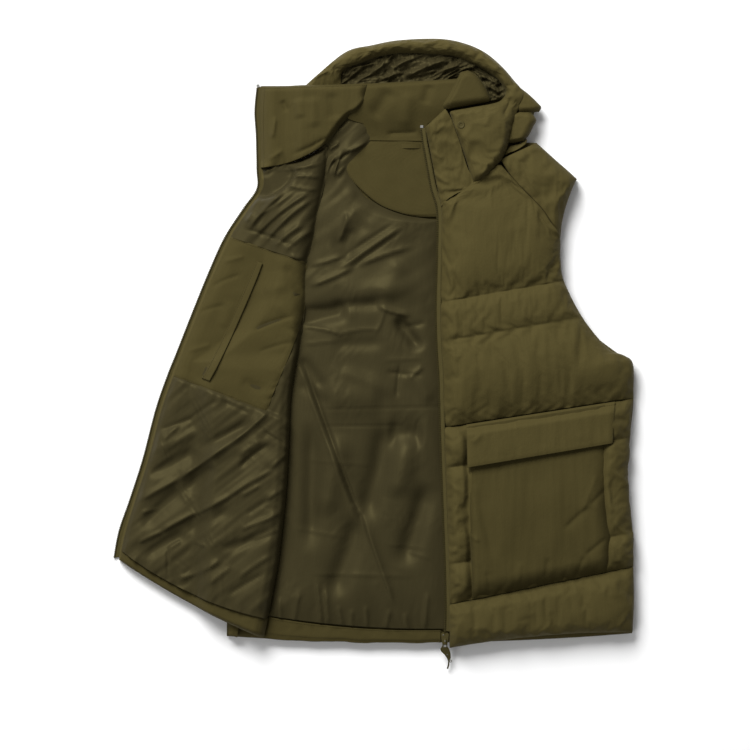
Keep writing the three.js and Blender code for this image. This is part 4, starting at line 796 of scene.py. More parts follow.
def cloth_material(name, colour, roughness, sheen, vary, crinkle, crinkle_size, weave, specular=0.25):
    """Cloth: a woven bump of two crossed bands, a crinkle bump of two noises, a colour that varies in soft
    patches and fine flecks, and a sheen for the fibres. Patterns lie on the piece's own map, in metres."""
    m = bpy.data.materials.new(name)
    m.use_nodes = True
    tree = m.node_tree
    shader = tree.nodes["Principled BSDF"]
    shader.inputs["Sheen Weight"].default_value = sheen
    shader.inputs["Sheen Roughness"].default_value = 0.4
    shader.inputs["Sheen Tint"].default_value = (0.75, 0.68, 0.42, 1)
    shader.inputs["Specular IOR Level"].default_value = specular
    shader.inputs["Specular Tint"].default_value = (0.85, 0.72, 0.3, 1)
    link = tree.links.new
    make = tree.nodes.new
    place = make("ShaderNodeTexCoord").outputs["UV"]

    stretched = make("ShaderNodeMapping")
    stretched.inputs["Scale"].default_value = (1, 0.05, 1)
    link(place, stretched.inputs["Vector"])

    def speckle(scale, detail, rough=0.5, distortion=0.0, place=place):
        """A fine noise, 0 to 1."""
        node = make("ShaderNodeTexNoise")
        node.inputs["Scale"].default_value = scale
        node.inputs["Detail"].default_value = detail
        node.inputs["Roughness"].default_value = rough
        node.inputs["Distortion"].default_value = distortion
        link(place, node.inputs["Vector"])
        return node.outputs["Fac"]

    def blend(fac, low, high, kind="MIX", amount=None):
        """A mix of two colours by a noise, or of two patterns by an amount."""
        node = make("ShaderNodeMix")
        node.data_type = "RGBA"
        node.blend_type = kind
        if amount is None:
            link(fac, node.inputs["Factor"])
            node.inputs[6].default_value = (*low, 1)
            node.inputs[7].default_value = (*high, 1)
        else:
            node.inputs["Factor"].default_value = amount
            link(low, node.inputs[6])
            link(high, node.inputs[7])
        return node.outputs[2]

    dark = [v * (1 - vary) for v in colour]
    light = [min(1, v * (1 + vary)) for v in colour]
    patches = blend(speckle(18, 3), dark, light)
    flecks = blend(speckle(900, 2, 0.7), (0.82,) * 3, (1.16,) * 3)
    threads = blend(speckle(620, 3, 0.6, 0.0, stretched.outputs["Vector"]), (0.86,) * 3, (1.13,) * 3)
    mottled = blend(None, patches, flecks, "MULTIPLY", 1.0)
    link(blend(None, mottled, threads, "MULTIPLY", 1.0), shader.inputs["Base Color"])
    rough = make("ShaderNodeMapRange")
    link(speckle(60, 4), rough.inputs["Value"])
    rough.inputs["To Min"].default_value = roughness - 0.06
    rough.inputs["To Max"].default_value = roughness + 0.06
    link(rough.outputs["Result"], shader.inputs["Roughness"])

    def bump(height, distance, before):
        """A bump over the one before it."""
        node = make("ShaderNodeBump")
        node.inputs["Distance"].default_value = distance
        link(height, node.inputs["Height"])
        if before is not None:
            link(before, node.inputs["Normal"])
        return node.outputs["Normal"]

    normal = bump(speckle(1 / crinkle_size, 4, 0.55, 0.8), crinkle, None)
    normal = bump(speckle(3.2 / crinkle_size, 3, 0.6, 0.4), crinkle * 0.35, normal)
    for direction in ("X", "Y"):
        wave = make("ShaderNodeTexWave")
        wave.bands_direction = direction
        wave.inputs["Scale"].default_value = 420
        link(place, wave.inputs["Vector"])
        normal = bump(wave.outputs["Fac"], weave, normal)
    link(normal, shader.inputs["Normal"])
    return m


def plain_material(name, colour, roughness, metallic, grain):
    """Metal, lacquer or thread: one colour with a fine grain in its roughness and its bump."""
    m = bpy.data.materials.new(name)
    m.use_nodes = True
    tree = m.node_tree
    shader = tree.nodes["Principled BSDF"]
    shader.inputs["Base Color"].default_value = (*colour, 1)
    shader.inputs["Metallic"].default_value = metallic
    shader.inputs["Specular IOR Level"].default_value = 0.15
    shader.inputs["Specular Tint"].default_value = (0.9, 0.8, 0.5, 1)
    place = tree.nodes.new("ShaderNodeTexCoord").outputs["Object"]
    node = tree.nodes.new("ShaderNodeTexNoise")
    node.inputs["Scale"].default_value = 1400
    node.inputs["Detail"].default_value = 4
    tree.links.new(place, node.inputs["Vector"])
    rough = tree.nodes.new("ShaderNodeMapRange")
    rough.inputs["To Min"].default_value = roughness * 0.8
    rough.inputs["To Max"].default_value = roughness * 1.2
    tree.links.new(node.outputs["Fac"], rough.inputs["Value"])
    tree.links.new(rough.outputs["Result"], shader.inputs["Roughness"])
    bump = tree.nodes.new("ShaderNodeBump")
    bump.inputs["Distance"].default_value = grain
    tree.links.new(node.outputs["Fac"], bump.inputs["Height"])
    tree.links.new(bump.outputs["Normal"], shader.inputs["Normal"])
    return m


MATERIALS = {}


def sizes(context):
    """The sizes in millimetres."""
    v = context.scene.vest_sizes
    return SimpleNamespace(**{k: getattr(v, k) * 1000 for k in VestSizes.__annotations__})


class VEST_OT_materials(bpy.types.Operator):
    """Makes the cloths and the metals"""
    bl_idname = "vest.materials"
    bl_label = "Cloths and metals"

    def execute(self, context):
        v = context.scene.vest_colours
        MATERIALS["shell"] = cloth_material("matt shell", v.shell, 0.8, 0.05, 0.06, 0.0004, 0.008, 0.00003)
        # A darker copy of the shell's cloth: painted shade.
        MATERIALS["facing"] = cloth_material("matt facing", [x * SHADE["facing"] for x in v.shell], 0.82, 0.05, 0.05,
                                             0.0003, 0.007, 0.00003)
        MATERIALS["lining"] = cloth_material("shiny lining", v.lining, 0.47, 0.0, 0.08, 0.0002, 0.012,
                                             0.00001, 0.12)
        MATERIALS["tape"] = cloth_material("zip tape", v.tape, 0.85, 0.05, 0.05, 0.0003, 0.003, 0.0001)
        MATERIALS["thread"] = plain_material("thread", [x * SHADE["thread"] for x in v.shell], 0.7, 0, 0.0001)
        MATERIALS["teeth"] = plain_material("zip teeth", [x * SHADE["teeth"] for x in v.tape], 0.6, 0, 0.00005)
        MATERIALS["lacquer"] = plain_material("olive lacquer", v.lacquer, 0.4, 0, 0.00004)
        MATERIALS["metal"] = plain_material("bright metal", (0.7, 0.69, 0.65), 0.25, 1, 0.00002)
        return {"FINISHED"}


def back_plan():
    """The rows of the back's lining, carried on up to the shoulder beside the collar."""
    shoulder = [(-118, 756, -78, 748), (-140, 730, -82, 722), (-152, 706, -88, 704), (-154, 682, -108, 682),
                (-152, 662, -118, 662)]
    corner = tuple(row + len(shoulder) for row in BACK_LINING.corner)
    bow = {row + len(shoulder): lift for row, lift in BACK_LINING.bow.items()}
    return Rows([*shoulder, *BACK_LINING.edge[1:].tolist()], bow={max(bow) - 1: -6}, corner=(corner[0] - 1,))


class VEST_OT_back(bpy.types.Operator):
    """Makes the back, its lining and its facings"""
    bl_idname = "vest.back"
    bl_label = "Back"

    def execute(self, context):
        v = sizes(context)
        c = lay(BACK, 5)
        near = np.minimum(np.minimum(c.left, c.right), np.minimum(c.above + 8, c.below))
        waves = 0.8 * noise(c.x / 30, c.y / 30, 3) * smooth(near / 20)
        padded("back", c, 5.6 + 6.4 * dome(near, 9) - 0.4 * np.abs(waves), 5 * (1 - dome(near, 9)),
               nodes=["back_shell"])

        c = lay(back_plan(), 2.5, grow=(6, 3))
        x, y = c.x, c.y
        calm = smooth((c.right - 1) / 12)
        seams = sum(-1.1 * np.exp(-(((y - level - 0.02 * x) / 1.4) ** 2)) * smooth((end - x) / 8)
                    for level, end in ((333, 60), (309, -36))) * smooth((x + 165) / 25)
        high = smooth((y - 400) / 120)
        drawn = 1.8 * noise((x + 0.3 * y) / 34, (y - 0.3 * x) / 140, 9) * (1 - 0.5 * high)
        drawn = drawn + 1.3 * noise((x + 0.6 * y) / 90, (y - 0.6 * x) / 22, 12) * high
        small = 0.5 * v.crumple * crumpled(x, y, 17, 60, 11) * smooth(noise(x / 50, y / 50, 5) * 2)
        shoulder = smooth((y - 600) / 50)
        small = (small * (1 - shoulder) + shoulder
                 * (1.8 * noise((x + 0.9 * y) / 60, (y - 0.9 * x) / 13, 161) - 0.5))
        hem = gathers(x, c.below, 12, 1.6, 28, 21)
        shade = (4.5 * upper_fold(y) - 1.5) * np.exp(-c.left / 16) * (1 - shoulder)
        rise = folds(BACK_FOLDS, x, y) + folds(SHOULDER_FOLDS, x, y, 1.3) + drawn + small + hem + shade
        middle = ease(np.minimum(c.left, c.below), 60) * ease(c.right, 32)
        top = STACK + at_least(3.4 + 9 * middle + calm * rise + seams, 0.8, 1.5)
        sheet("back_lining_cloth", c, top, "lining",
              ["back_lining", "shoulder_lining"])

        c = lay(Rows([(-84, 722, -9, 721), *NECK_FACING.edge.tolist()], corner=(2,)), 2, grow=(2, 2))
        top = (STACK + 5.2 + 0.7 * noise(c.x / 26, c.y / 26, 31) - 1.2 * np.exp(-c.left / 4)
               - 1.5 * (1 - smooth(c.below / 9)))
        top = top - 2.0 * np.exp(-c.above / 9)
        sheet("neck_facing_cloth", c, top, "facing", ["back_neck_facing"])
        paths = [beside(c, top, "below", 2.5), beside(c, top, "left", 2.5)]
        c = lay(BACK_HEM_FACING, 2, grow=(0, 2))
        c.y = c.y + 1.6 * noise(c.x / 24, 0.5, 44) * smooth(c.down / 20)
        top = (STACK + 3.6 + gathers(c.x, c.above, 9, 0.9, 9, 41) + 0.6 * noise(c.x / 22, c.y / 15, 42)
               - 1.8 * smooth((8 - c.below) / 8))
        sheet("back_hem_cloth", c, top, "facing", ["back_hem_facing"])
        stitches("back_stitching", paths + [beside(c, top, "above", 2.5), beside(c, top, "below", 6)])
        return {"FINISHED"}


POCKET = {"left": 0.122, "right": 0.875, "flap": 0.9}  # shares of the way across the lower front


def lower_front_top(c, v):
    """The lower front is quilted beside the pocket, held flatter under it, and sunk along the pocket's left
    side."""
    quilted = puff(c, v.loft - 1, [("left", 9, 15, ease), ("above", 9, 24, ease), ("below", 9, 34, ease),
                                   ("right", 5, 44, dome)], [(1, 8, 24, 20), (3, 8, 40, 18)])
    flat = 15 * ease(c.left, 26) * dome(c.right, 40)
    inside = (smooth((c.u - POCKET["left"]) / 0.05) * smooth((POCKET["right"] + 0.01 - c.u) / 0.04)
              * smooth((4.05 - c.t) / 0.3))
    inside = inside * smooth(c.t / 0.1)
    sunk = (8 * np.exp(-((((c.u - POCKET["left"] + 0.004) * 255) / 4) ** 2)) * smooth((c.t - 0.1) / 0.4)
            * smooth((4 - c.t) / 0.1))
    return STACK + quilted + np.minimum(0, flat - quilted) * inside - sunk


class VEST_OT_closed_front(bpy.types.Operator):
    """Makes the closed left front: yoke, chest, lower front and hem band"""
    bl_idname = "vest.closed_front"
    bl_label = "Closed front"

    def execute(self, context):
        v = sizes(context)
        c = lay(CHEST, 3.6)
        down = smooth((c.t - 4.6) / 0.8)
        raglan = 24 + (v.loft - 24) * ease(c.right, 8)
        armhole = 5 + (v.loft - 5) * dome(c.right, 36)
        neck = 23.5 + (v.loft - 23.5) * ease(c.left, 9)
        zip_edge = 9 + (v.loft - 9) * ease(c.left, 18)
        rim = np.minimum(raglan + (armhole - raglan) * down, neck + (zip_edge - neck) * down)
        lines = puff(c, v.loft, [("below", 13, 56, ease)], [(7, 5.5, 48, 18), (8, 2.5, 14, 22)])
        top = STACK + rim * lines / v.loft + folds(CHEST_FOLDS, c.x, c.y) + v.pucker * puckers(c, 51, (7, 8))
        padded("chest", c, top, STACK, nodes=["front_left_chest"], blow=((7, 8), 0.03, 1.8, 0.012))

        c = lay(YOKE, 3.6, grow=(3, 0))
        top = STACK + puff(c, 25, [("left", 24, 8, ease), ("above", 21, 12, ease), ("right", 6, 24, dome),
                                   ("below", 5, 22, dome)])
        top = top + folds(YOKE_FOLDS, c.x, c.y) + v.pucker * puckers(c, 91, (), ("left", "above"))
        padded("yoke", c, top, STACK, nodes=["front_left_yoke"], blow=((), 0.025, 1.5, 0.01))

        c = lay(LOWER_FRONT, 3.6, wobble=(0, 1.5))
        clear = np.maximum(POCKET["left"] - 0.012 - c.u, c.u - POCKET["right"] - 0.014) > 0
        c.free = clear | (c.t < 0.1)
        top = (lower_front_top(c, v) + folds(LOWER_FOLDS, c.x, c.y, 1.3)
               + v.pucker * puckers(c, 131, (1, 3), depth=1.7))
        padded("lower_front", c, top, STACK, nodes=["front_left_lower"], blow=((1, 3), 0.04, 0.6, 0.01))

        c = lay(HEM_BAND, 3.6, grow=(1.5, 0))
        top = STACK + puff(c, 23, [("left", 9, 16, ease), ("above", 9, 20, ease), ("below", 5, 30, dome),
                                   ("right", 5, 36, dome)])
        top = top + folds(BAND_FOLDS, c.x, c.y, 1.3) + v.pucker * puckers(c, 171, depth=1.4)
        padded("hem_band", c, top, STACK, nodes=["front_left_hem_band"], blow=((), 0.035, 1.8, 0.012))
        return {"FINISHED"}


class VEST_OT_pocket(bpy.types.Operator):
    """Makes the patch pocket and its flap"""
    bl_idname = "vest.pocket"
    bl_label = "Pocket"

    def execute(self, context):
        v = sizes(context)
        c = lay(LOWER_FRONT, 2.2, first=0.1, last=3.985, share=(POCKET["left"], POCKET["right"]))
        full = 21 + 7 * smooth((c.t - 1.1) / 1.2)
        top = STACK + puff(c, full, [("left", 18, 9, ease), ("right", 15, 20, ease), ("below", 9, 26, ease)])
        under = lower_front_top(c, v)
        top = np.maximum(top + folds(POCKET_FOLDS, c.x, c.y, 1.2), under + 1)
        top = top + 0.6 * noise(c.x / 9, c.y / 90, 91) + 0.9 * noise(c.x / 40, c.y / 50, 93)
        top = top + v.pucker * (gathers(c.down, c.left, 14, 0.8, 8, 92)
                                + gathers(c.across, c.below, 12, 1.5, 12, 94)
                                + gathers(c.down, c.right, 16, 1.0, 12, 96))
        sheet("pocket_cloth", c, top, "facing", ["pocket_left"],
              thick=top - np.minimum(under, top - 1))
        paths = [beside(c, top, "left", 2), beside(c, top, "right", 2)]

        c = lay(LOWER_FRONT, 2.2, first=0.02, last=1.06, share=(POCKET["left"] - 0.006, POCKET["flap"]))
        hang = smooth(c.down / 16)
        free = 9 - 5 * c.u
        top = (STACK + 17 + (5 + free) * hang * dome(c.left + 4, 10) * dome(c.right + 4, 14)
               - 0.7 * smooth((4 - c.below) / 4))
        top = (top + folds(FLAP_FOLDS, c.x, c.y) + 0.4 * noise(c.x / 8, c.y / 60, 97)
               + 0.5 * noise(c.x / 40, c.y / 30, 98))
        sheet("flap_cloth", c, top, "shell", ["pocket_flap"], thick=2.0)
        paths += [beside(c, top, "above", 4)]
        stitches("pocket_stitching", paths)
        return {"FINISHED"}


class VEST_OT_open_front(bpy.types.Operator):
    """Makes the opened right front: padding, lining, inner pocket and facing"""
    bl_idname = "vest.open_front"
    bl_label = "Opened front"

    def execute(self, context):
        v = sizes(context)
        whole = lay(OPEN_FRONT, 3)
        top = over_open_front(whole, v.open_loft)
        padded("right_front", whole, top, under_open_front(whole.x, whole.y), nodes=["front_right_shell"])
        c = lay(UNDERLAP, 4)
        top = STACK + 3 + 7 * dome(np.minimum(c.left + 1, c.below + 1), 10)
        padded("underlap", c, top, STACK, nodes=["front_right_underlap"])

        def on_top(first, last, share=(0, 1)):
            """A zone of the opened front's own grid, and the height of the padding under it."""
            c = lay(OPEN_FRONT, 2.3, first=first, last=last, grow=(-3, 0.6), share=share)
            above = np.interp(c.t, whole.t[:, 0], whole.down[:, 0])
            c.fade = smooth(np.minimum(c.left, (1 - c.u) * c.width + 3) / 8)
            spot = SimpleNamespace(x=c.x, y=c.y, above=above, below=whole.down[-1, 0] - above,
                                   left=c.left + 3, right=(1 - c.u) * c.width)
            return c, over_open_front(spot, v.open_loft) + 0.8

        def drawn(c, angle, wide, long, seed):
            """Folds drawn out along an angle: a noise that is long that way and narrow across."""
            co, si = math.cos(math.radians(angle)), math.sin(math.radians(angle))
            return noise((c.x * co + c.y * si) / long, (c.y * co - c.x * si) / wide, seed)

        paths = []
        c, base = on_top(0, 4.02)
        neck = gathers(c.across, c.above, 7, 3.2, 14, 107)
        small = 1.8 * drawn(c, 48, 15, 80, 101) + 0.7 * drawn(c, 52, 7, 60, 103) + 1
        top = base + 2.2 + c.fade * (folds(OPEN_UPPER_FOLDS, c.x, c.y, 1.1) + small + neck)
        top = top + gathers(c.down, c.right, 8, 2.0, 10, 109)
        top = top + (base + 0.2 - top) * hollow_under_collar(c.x, c.y)
        sheet("open_upper_lining", c, at_least(top, base, 1.5), "lining",
              ["front_right_upper_lining"])
        c, base = on_top(4, 8.02)
        narrow = 1 - 0.19 * smooth((c.t - 4.9) / 3.3)
        c = SimpleNamespace(**vars(c))
        c.x = c.x * narrow + c.x[:, :1] * (1 - narrow)
        c.y = c.y * narrow + c.y[:, :1] * (1 - narrow)
        edge = smooth(c.right / 6)
        far = SimpleNamespace(x=c.x, y=c.y, above=np.interp(c.t, whole.t[:, 0], whole.down[:, 0]),
                              below=100 + 0 * c.x, left=c.left + 3, right=c.width - c.left * narrow)
        base = over_open_front(far, v.open_loft) + 1.6
        c.fade = smooth(c.left / 8)
        top = (base + 1.2 + 1.2 * edge + c.fade
               * (folds(PANEL_FOLDS, c.x, c.y, 1.2) + 0.8 * noise(c.x / 40, c.y / 22, 111)))
        top = (top + gathers(c.down, c.right, 9, 2.0, 10, 113)
               + gathers(c.across, np.minimum(c.above, c.below), 14, 0.8, 8, 115))
        sheet("open_pocket_panel", c, top, "facing",
              ["front_right_pocket_panel"])
        paths += [beside(c, top, "above", 2), beside(c, top, "below", 2)]
        c, base = on_top(4.9, 13.02)
        panel = smooth((8.1 - c.t) / 0.15)
        small = 1.8 * drawn(c, 35, 16, 120, 121) + 0.8 * drawn(c, 38, 6, 70, 122) + 2.5
        small = (small * (1 - panel) + panel * (1.6 * drawn(c, 62, 7, 40, 123) - 0.5)
                 * smooth((c.u - 0.7) / 0.1))
        small = (small + 0.5 * v.crumple * crumpled(c.x, c.y, 14, 120, 125)
                 * smooth(2 * noise(c.x / 45, c.y / 45, 126)))
        hem = gathers(c.across, c.below, 9, 3.0, 14, 127)
        hem = hem + gathers(c.across, np.abs(c.down - c.stops[8]), 10, 1.4, 10, 129) * (1 - panel)
        side = gathers(c.down, c.right, 10, 2.2, 14, 131)
        top = (base + 3.6 - 2.6 * panel + c.fade
               * (folds(OPEN_LOWER_FOLDS, c.x, c.y) * (1 - panel) + small + hem) + side)
        sheet("open_lower_lining", c, at_least(top, base, 1.5), "lining",
              ["front_right_lower_lining"])
        c, base = on_top(13, 14)
        top = base + 1.2 + gathers(c.across, c.above, 12, 0.9, 8, 141) + 0.4 * noise(c.x / 18, c.y / 12, 143)
        sheet("open_hem_facing", c, top, "facing", ["front_right_hem_facing"])
        paths += [beside(c, top, "above", 2.5), beside(c, top, "below", 5)]

        lines = np.linspace(4.45, 7.7, 90)
        ends = curve(OPEN_FRONT, lines)
        shares = 0.41 - 0.17 * (lines - 4.45) / 3.25
        wide = np.linspace(0, 0.07, 9)[None, :]
        u = shares[:, None] + wide
        x = ends[:, :1] * (1 - u) + ends[:, 2:3] * u
        y = ends[:, 1:2] * (1 - u) + ends[:, 3:4] * u
        width = np.hypot(ends[:, 2] - ends[:, 0], ends[:, 3] - ends[:, 1])[:, None]
        steps = np.diff(np.stack([x[:, 0], y[:, 0]], -1), axis=0)
        down = np.concatenate([[0], np.cumsum(np.hypot(*steps.T))])[:, None] + 0 * x
        c = SimpleNamespace(x=x, y=y, left=wide * width + 0 * x, right=(0.07 - wide) * width, above=down,
                            below=down[-1, 0] - down, across=wide * width + 0 * x, down=down)
        far = SimpleNamespace(x=x, y=y, above=100 + 0 * x, below=100 + 0 * x, left=u * width,
                              right=(1 - u) * width)
        top = over_open_front(far, v.open_loft) + 4.2 + 1.2 * dome(c.left, 3) + 1.6 * c.left / width / 0.07
        sheet("pocket_welt", c, top, "facing", ["inner_pocket_welt"],
              thick=1.6)
        paths += [beside(c, top, "left", 1.5)]
        stitches("open_front_stitching", paths)
        return {"FINISHED"}


class VEST_OT_collar(bpy.types.Operator):
    """Makes the stand collar"""
    bl_idname = "vest.collar"
    bl_label = "Collar"

    def execute(self, context):
        v = sizes(context)
        c = lay(COLLAR_RIGHT, 2)
        under = 12.5 * smooth((c.x + 206) / 28)
        full = 23 + 2 * smooth((c.x + 190) / 90)
        top = under + puff(c, full, [("above", 9, 9, dome), ("left", 6, 22, ease), ("below", 21, 14, ease),
                                     ("right", 10, 16, ease)]) + folds(COLLAR_RIGHT_FOLDS, c.x, c.y, 2)
        top = top + v.pucker * puckers(c, 211, (), ("below",), 1.0)
        padded("right_collar", c, top, under, "facing", ["collar_right"])
        paths = [beside(c, top, "above", 3), beside(c, top, "left", 6)]
        c = lay(COLLAR_BACK, 2, grow=(8, 12))
        full = 6 + 15 * smooth((c.y - 706) / 60)
        top = (STACK + puff(c, full, [("above", 6, 8, dome), ("below", 6, 12, ease)])
               + folds(COLLAR_BACK_FOLDS, c.x, c.y, 2))
        padded("back_collar", c, top + 0.6 * noise(c.x / 30, c.y / 24, 155), STACK, "facing",
               ["collar_back"])
        c = lay(COLLAR_TURN, 2, grow=(1, 1))
        top = STACK + puff(c, 29, [("left", 22, 10, ease), ("right", 18, 12, dome), ("above", 18, 10, dome),
                                   ("below", 20, 10, ease)])
        top = (top - 1.6 * np.exp(-(((c.left - 7) / 1.2) ** 2))
               + gathers(c.down, np.abs(c.left - 7), 7, 0.8, 6, 157))
        padded("collar_turn_cloth", c, top, STACK, "facing", ["collar_turn"])
        c = lay(COLLAR_LEFT, 3, grow=(0, 3))
        full = 20 + 6 * smooth((c.y - 660) / 70)
        top = STACK + puff(c, full, [("left", 12, 12, ease), ("right", 23, 14, ease), ("above", 17, 9, dome),
                                     ("below", 23, 8, ease)]) + folds(COLLAR_LEFT_FOLDS, c.x, c.y, 1.2)
        padded("left_collar", c, top + v.pucker * puckers(c, 231, (), ("left", "below")), STACK, "shell",
               ["collar_left"], blow=((), 0.03, 1.2, 0.01))
        stitches("collar_stitching", paths)
        return {"FINISHED"}


HOOD_EDGE = Rows([(-112, 770, -186, 764), (-124, 781, -182, 778), *HOOD_FRONT.edge[1:14].tolist(),
                  (25, 747, 108, 702.5), (31, 728, 104, 690.5), (41, 700, 98, 679), (51, 670, 90, 670),
                  (59, 646, 80, 659)], corner=(15,))
HOOD_CORNER = Rows([(106, 781, 117, 786), (116, 769, 136, 772), (119, 758, 151, 757.5), (121, 752, 154, 753),
                    (123, 746, 151, 747)])
HOOD_FOLD = Rows([(113, 746, 139, 747), (111, 738, 147, 736), (109, 727, 142, 725), (107, 715, 137, 715),
                  (104, 702, 129, 706)])


class VEST_OT_hood(bpy.types.Operator):
    """Makes the hood: padded edge, back, crumpled lining and the puffs at its side"""
    bl_idname = "vest.hood"
    bl_label = "Hood"

    def execute(self, context):
        v = sizes(context)
        c = lay(HOOD_BACK, 4)
        near = np.minimum(np.minimum(c.left, c.right), np.minimum(c.above, c.below + 6))
        padded("hood_back_cloth", c, 6 + 6 * dome(near, 9), 5 * (1 - dome(near, 9)), nodes=["hood_back"])
        c = lay(HOOD_LINING, 1.5, grow=(6, 8))
        small = 4.5 * crumpled(c.x, c.y, 14, 25, 171, 2.4) + 1.0 * crumpled(c.x, c.y, 6, 110, 175)
        top = STACK + at_least(3 + folds(HOOD_FOLDS, c.x, c.y, 1.6) + 1.2 * small, 0.8, 1)
        sheet("hood_lining_cloth", c, top, "lining", ["hood_lining"])
        c = lay(HOOD_EDGE, 3)
        wide = smooth((c.t - 11.5) / 2.5)
        loft = (v.hood_loft - 12 + 12 * wide) * (0.35 + 0.65 * smooth((c.t - 0.6) / 2.2))
        inner, outer = 4 + 16 * wide, 8 + 2 * wide
        top = STACK + inner + (loft - inner) * dome(c.left, 11 + 3 * wide)
        seam = smooth((c.t - 9.6) / 0.8)
        rounded = 6 + (top - 6) * dome(c.right, outer + 4)
        sewn = 30 + (top - 30) * ease(c.right, 12)
        top = rounded + (sewn - rounded) * seam
        top = STACK + 20 + (top - STACK - 20) * ease(c.below + 1, 9)
        snap = smooth((np.hypot(c.x - 41, c.y - 727) - 7) / 9)
        c.free = snap
        top = top + (folds(HOOD_FRONT_FOLDS, c.x, c.y, 1.3)
                     + v.pucker * puckers(c, 251, (), ("left", "right"), 1.1)) * snap
        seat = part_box("hood_snap")[0][2] * 1000 + 0.8
        top = seat + (top - seat) * snap
        padded("hood_edge", c, top, STACK, nodes=["hood_front"], blow=((), 0.03, 1.0, 0.008))
        for name, rows, loft, node in (("hood_side_puff", HOOD_CORNER, 20, "hood_side"),
                                       ("hood_neck_puff", HOOD_FOLD, 21, "hood_neck"),
                                       ("neck_roll_puff", NECK_ROLL, 17, "hood_neck_roll")):
            c = lay(rows, 1.5)
            top = STACK + puff(c, loft, [("left", 17, 8, ease), ("right", 5, 12, dome), ("above", 13, 8, ease),
                                         ("below", 12, 7, ease)])
            top = top + v.pucker * puckers(c, 291, (), ("left", "above"), 0.8)
            padded(name, c, top, STACK, nodes=[node])
        return {"FINISHED"}


class VEST_OT_zip(bpy.types.Operator):
    """Makes the zip's tapes and teeth, and finishes its hard pieces"""
    bl_idname = "vest.zip"
    bl_label = "Zip"

    def execute(self, context):
        v = sizes(context)
        for name, rows, side in (("left", ZIP_LEFT, 1), ("right", ZIP_RIGHT, 0)):
            c = lay(rows, 1.5, grow=(0, 2 if side else 4))
            if side:
                rise = STACK + 5 + (1 + 1.5 * c.u) * smooth((c.y - 20) / 60) + 3 * smooth((c.y - 640) / 60)
            else:
                rise = 0.8 + 0 * c.x
            top = rise + 1.4 + 0.2 * noise(c.x / 6, c.y / 14, 201)
            sheet(name + "_zip_tape", c, top, "tape",
                  ["zip_tape_" + name], thick=1.2)
            path = beside(c, top, "left", 0.4, 0.7)
            spots, along = evenly(path, v.tooth)
            copies(name + "_zip_teeth", spots, along, block(1.5, 3.0, 1.7, 0.75), "teeth")
            if side:
                stitches("zip_stitching", [beside(c, top, "right", 1.0)])
        # where the slider's spring, its rivet and the tab's rivet lie
        bits = np.array([(19, 6.2, 22.7), (16.6, 14.6, 18.4), (22.3, -13.4, 14.9)])
        for name, spot, long in (("slider_spring", bits[:1], 2.6), ("slider_rivet", bits[1:2], 1.7)):
            copies(name, spot, np.array([(0.0, 1, 0)]), block(long, 1.5, 0.8), "metal")
        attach(copies("tab_rivet", bits[2:], np.array([(1.0, 0, 0)]), block(1.8, 1.4, 0.7), "metal"),
                "pull_tab")
        for node, cloth in (("zip_slider", "lacquer"), ("pull_tab", "lacquer"), ("hood_snap", "lacquer"),
                            ("zip_stop_left", "metal"), ("zip_stop_right", "metal"),
                            ("hanger_loop", "facing")):
            solid = bpy.data.objects[node]
            solid.data.materials.clear()
            solid.data.materials.append(MATERIALS[cloth])
        return {"FINISHED"}


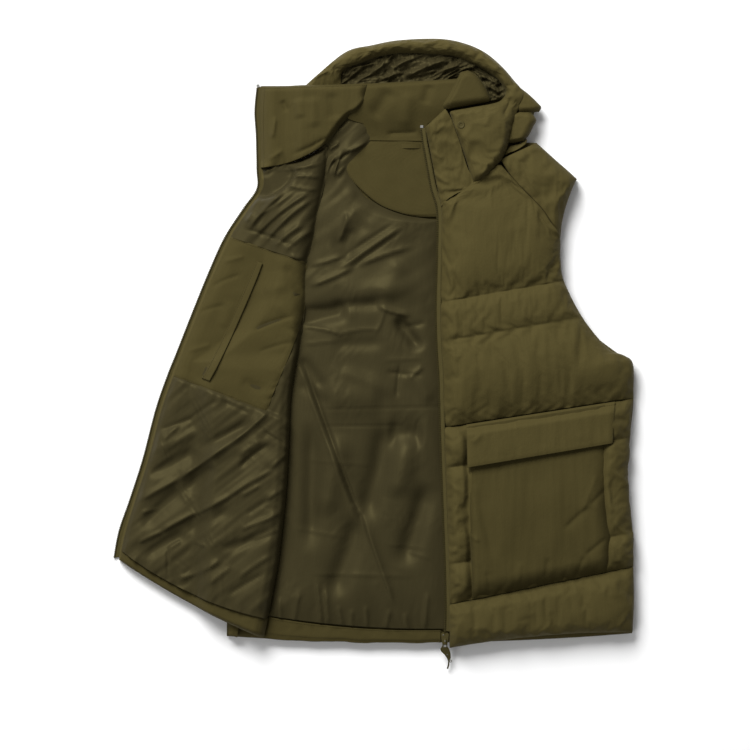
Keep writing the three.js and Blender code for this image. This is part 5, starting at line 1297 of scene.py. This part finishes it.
class VEST_OT_stage(bpy.types.Operator):
    """Makes the floor, the lights and the camera straight above"""
    bl_idname = "vest.stage"
    bl_label = "Stage"

    def execute(self, context):
        v = context.scene.vest_colours
        bpy.ops.mesh.primitive_plane_add(size=30, location=(0, 0, -FLOOR_DROP))
        floor = context.object
        floor.name = "floor"
        paper = bpy.data.materials.new("paper")
        paper.use_nodes = True
        shader = paper.node_tree.nodes["Principled BSDF"]
        shader.inputs["Base Color"].default_value = (*v.floor, 1)
        shader.inputs["Roughness"].default_value = 0.95
        floor.data.materials.append(paper)

        world = bpy.data.worlds.new("studio")
        context.scene.world = world
        world.use_nodes = True
        world.node_tree.nodes["Background"].inputs["Color"].default_value = (1, 1, 1, 1)
        world.node_tree.nodes["Background"].inputs["Strength"].default_value = 0.27
        for name, place, size, power in (("key", (-1.3, 2.7, 2.8), 2.2, 272),
                                         ("fill", (-1.8, -2.0, 2.4), 1.6, 16)):
            light = bpy.data.lights.new(name, "AREA")
            light.size = size
            light.energy = power
            lamp = bpy.data.objects.new(name, light)
            lamp.location = place
            aim = np.array(place) * -1.0
            lamp.rotation_euler = (math.atan2(math.hypot(aim[0], aim[1]), -aim[2]), 0,
                                   math.atan2(-aim[0], aim[1]))
            context.collection.objects.link(lamp)

        camera = bpy.data.cameras.new("camera")
        camera.sensor_width = 36
        distance = 5.5
        camera.lens = camera.sensor_width * (distance - VIEW_HEIGHT) / PICTURE_WIDE
        camera.clip_end = 50
        eye = bpy.data.objects.new("camera", camera)
        eye.location = (0.00205, -0.02924, distance)
        context.collection.objects.link(eye)
        context.scene.camera = eye
        context.scene.view_settings.view_transform = "Standard"
        return {"FINISHED"}


STEPS = (VEST_OT_materials, VEST_OT_back, VEST_OT_closed_front, VEST_OT_pocket, VEST_OT_open_front,
         VEST_OT_collar, VEST_OT_hood, VEST_OT_zip, VEST_OT_stage)


class VEST_PT_panel(bpy.types.Panel):
    """Lists the vest's sizes, colours and steps in the sidebar"""
    bl_idname = "VEST_PT_panel"
    bl_label = "Puffer vest"
    bl_space_type = "VIEW_3D"
    bl_region_type = "UI"
    bl_category = "Vest"

    def draw(self, context):
        """The sizes and colours, then a button for each step."""
        for group in (context.scene.vest_sizes, context.scene.vest_colours):
            for name in group.__annotations__:
                self.layout.prop(group, name)
        for step in STEPS:
            self.layout.operator(step.bl_idname)


CLASSES = (VestSizes, VestColours, *STEPS, VEST_PT_panel)


def register():
    """Adds the classes and the scene's two groups."""
    for kind in CLASSES:
        bpy.utils.register_class(kind)
    bpy.types.Scene.vest_sizes = PointerProperty(type=VestSizes)
    bpy.types.Scene.vest_colours = PointerProperty(type=VestColours)


def unregister():
    """Takes out what register adds."""
    del bpy.types.Scene.vest_colours
    del bpy.types.Scene.vest_sizes
    for kind in reversed(CLASSES):
        bpy.utils.unregister_class(kind)


def main():
    """Makes the vest step by step."""
    register()
    for step in STEPS:
        group, name = step.bl_idname.split(".")
        if getattr(getattr(bpy.ops, group), name)() != {"FINISHED"}:
            raise RuntimeError(step.bl_label + " wasn't made")


if __name__ == "__main__":
    main()
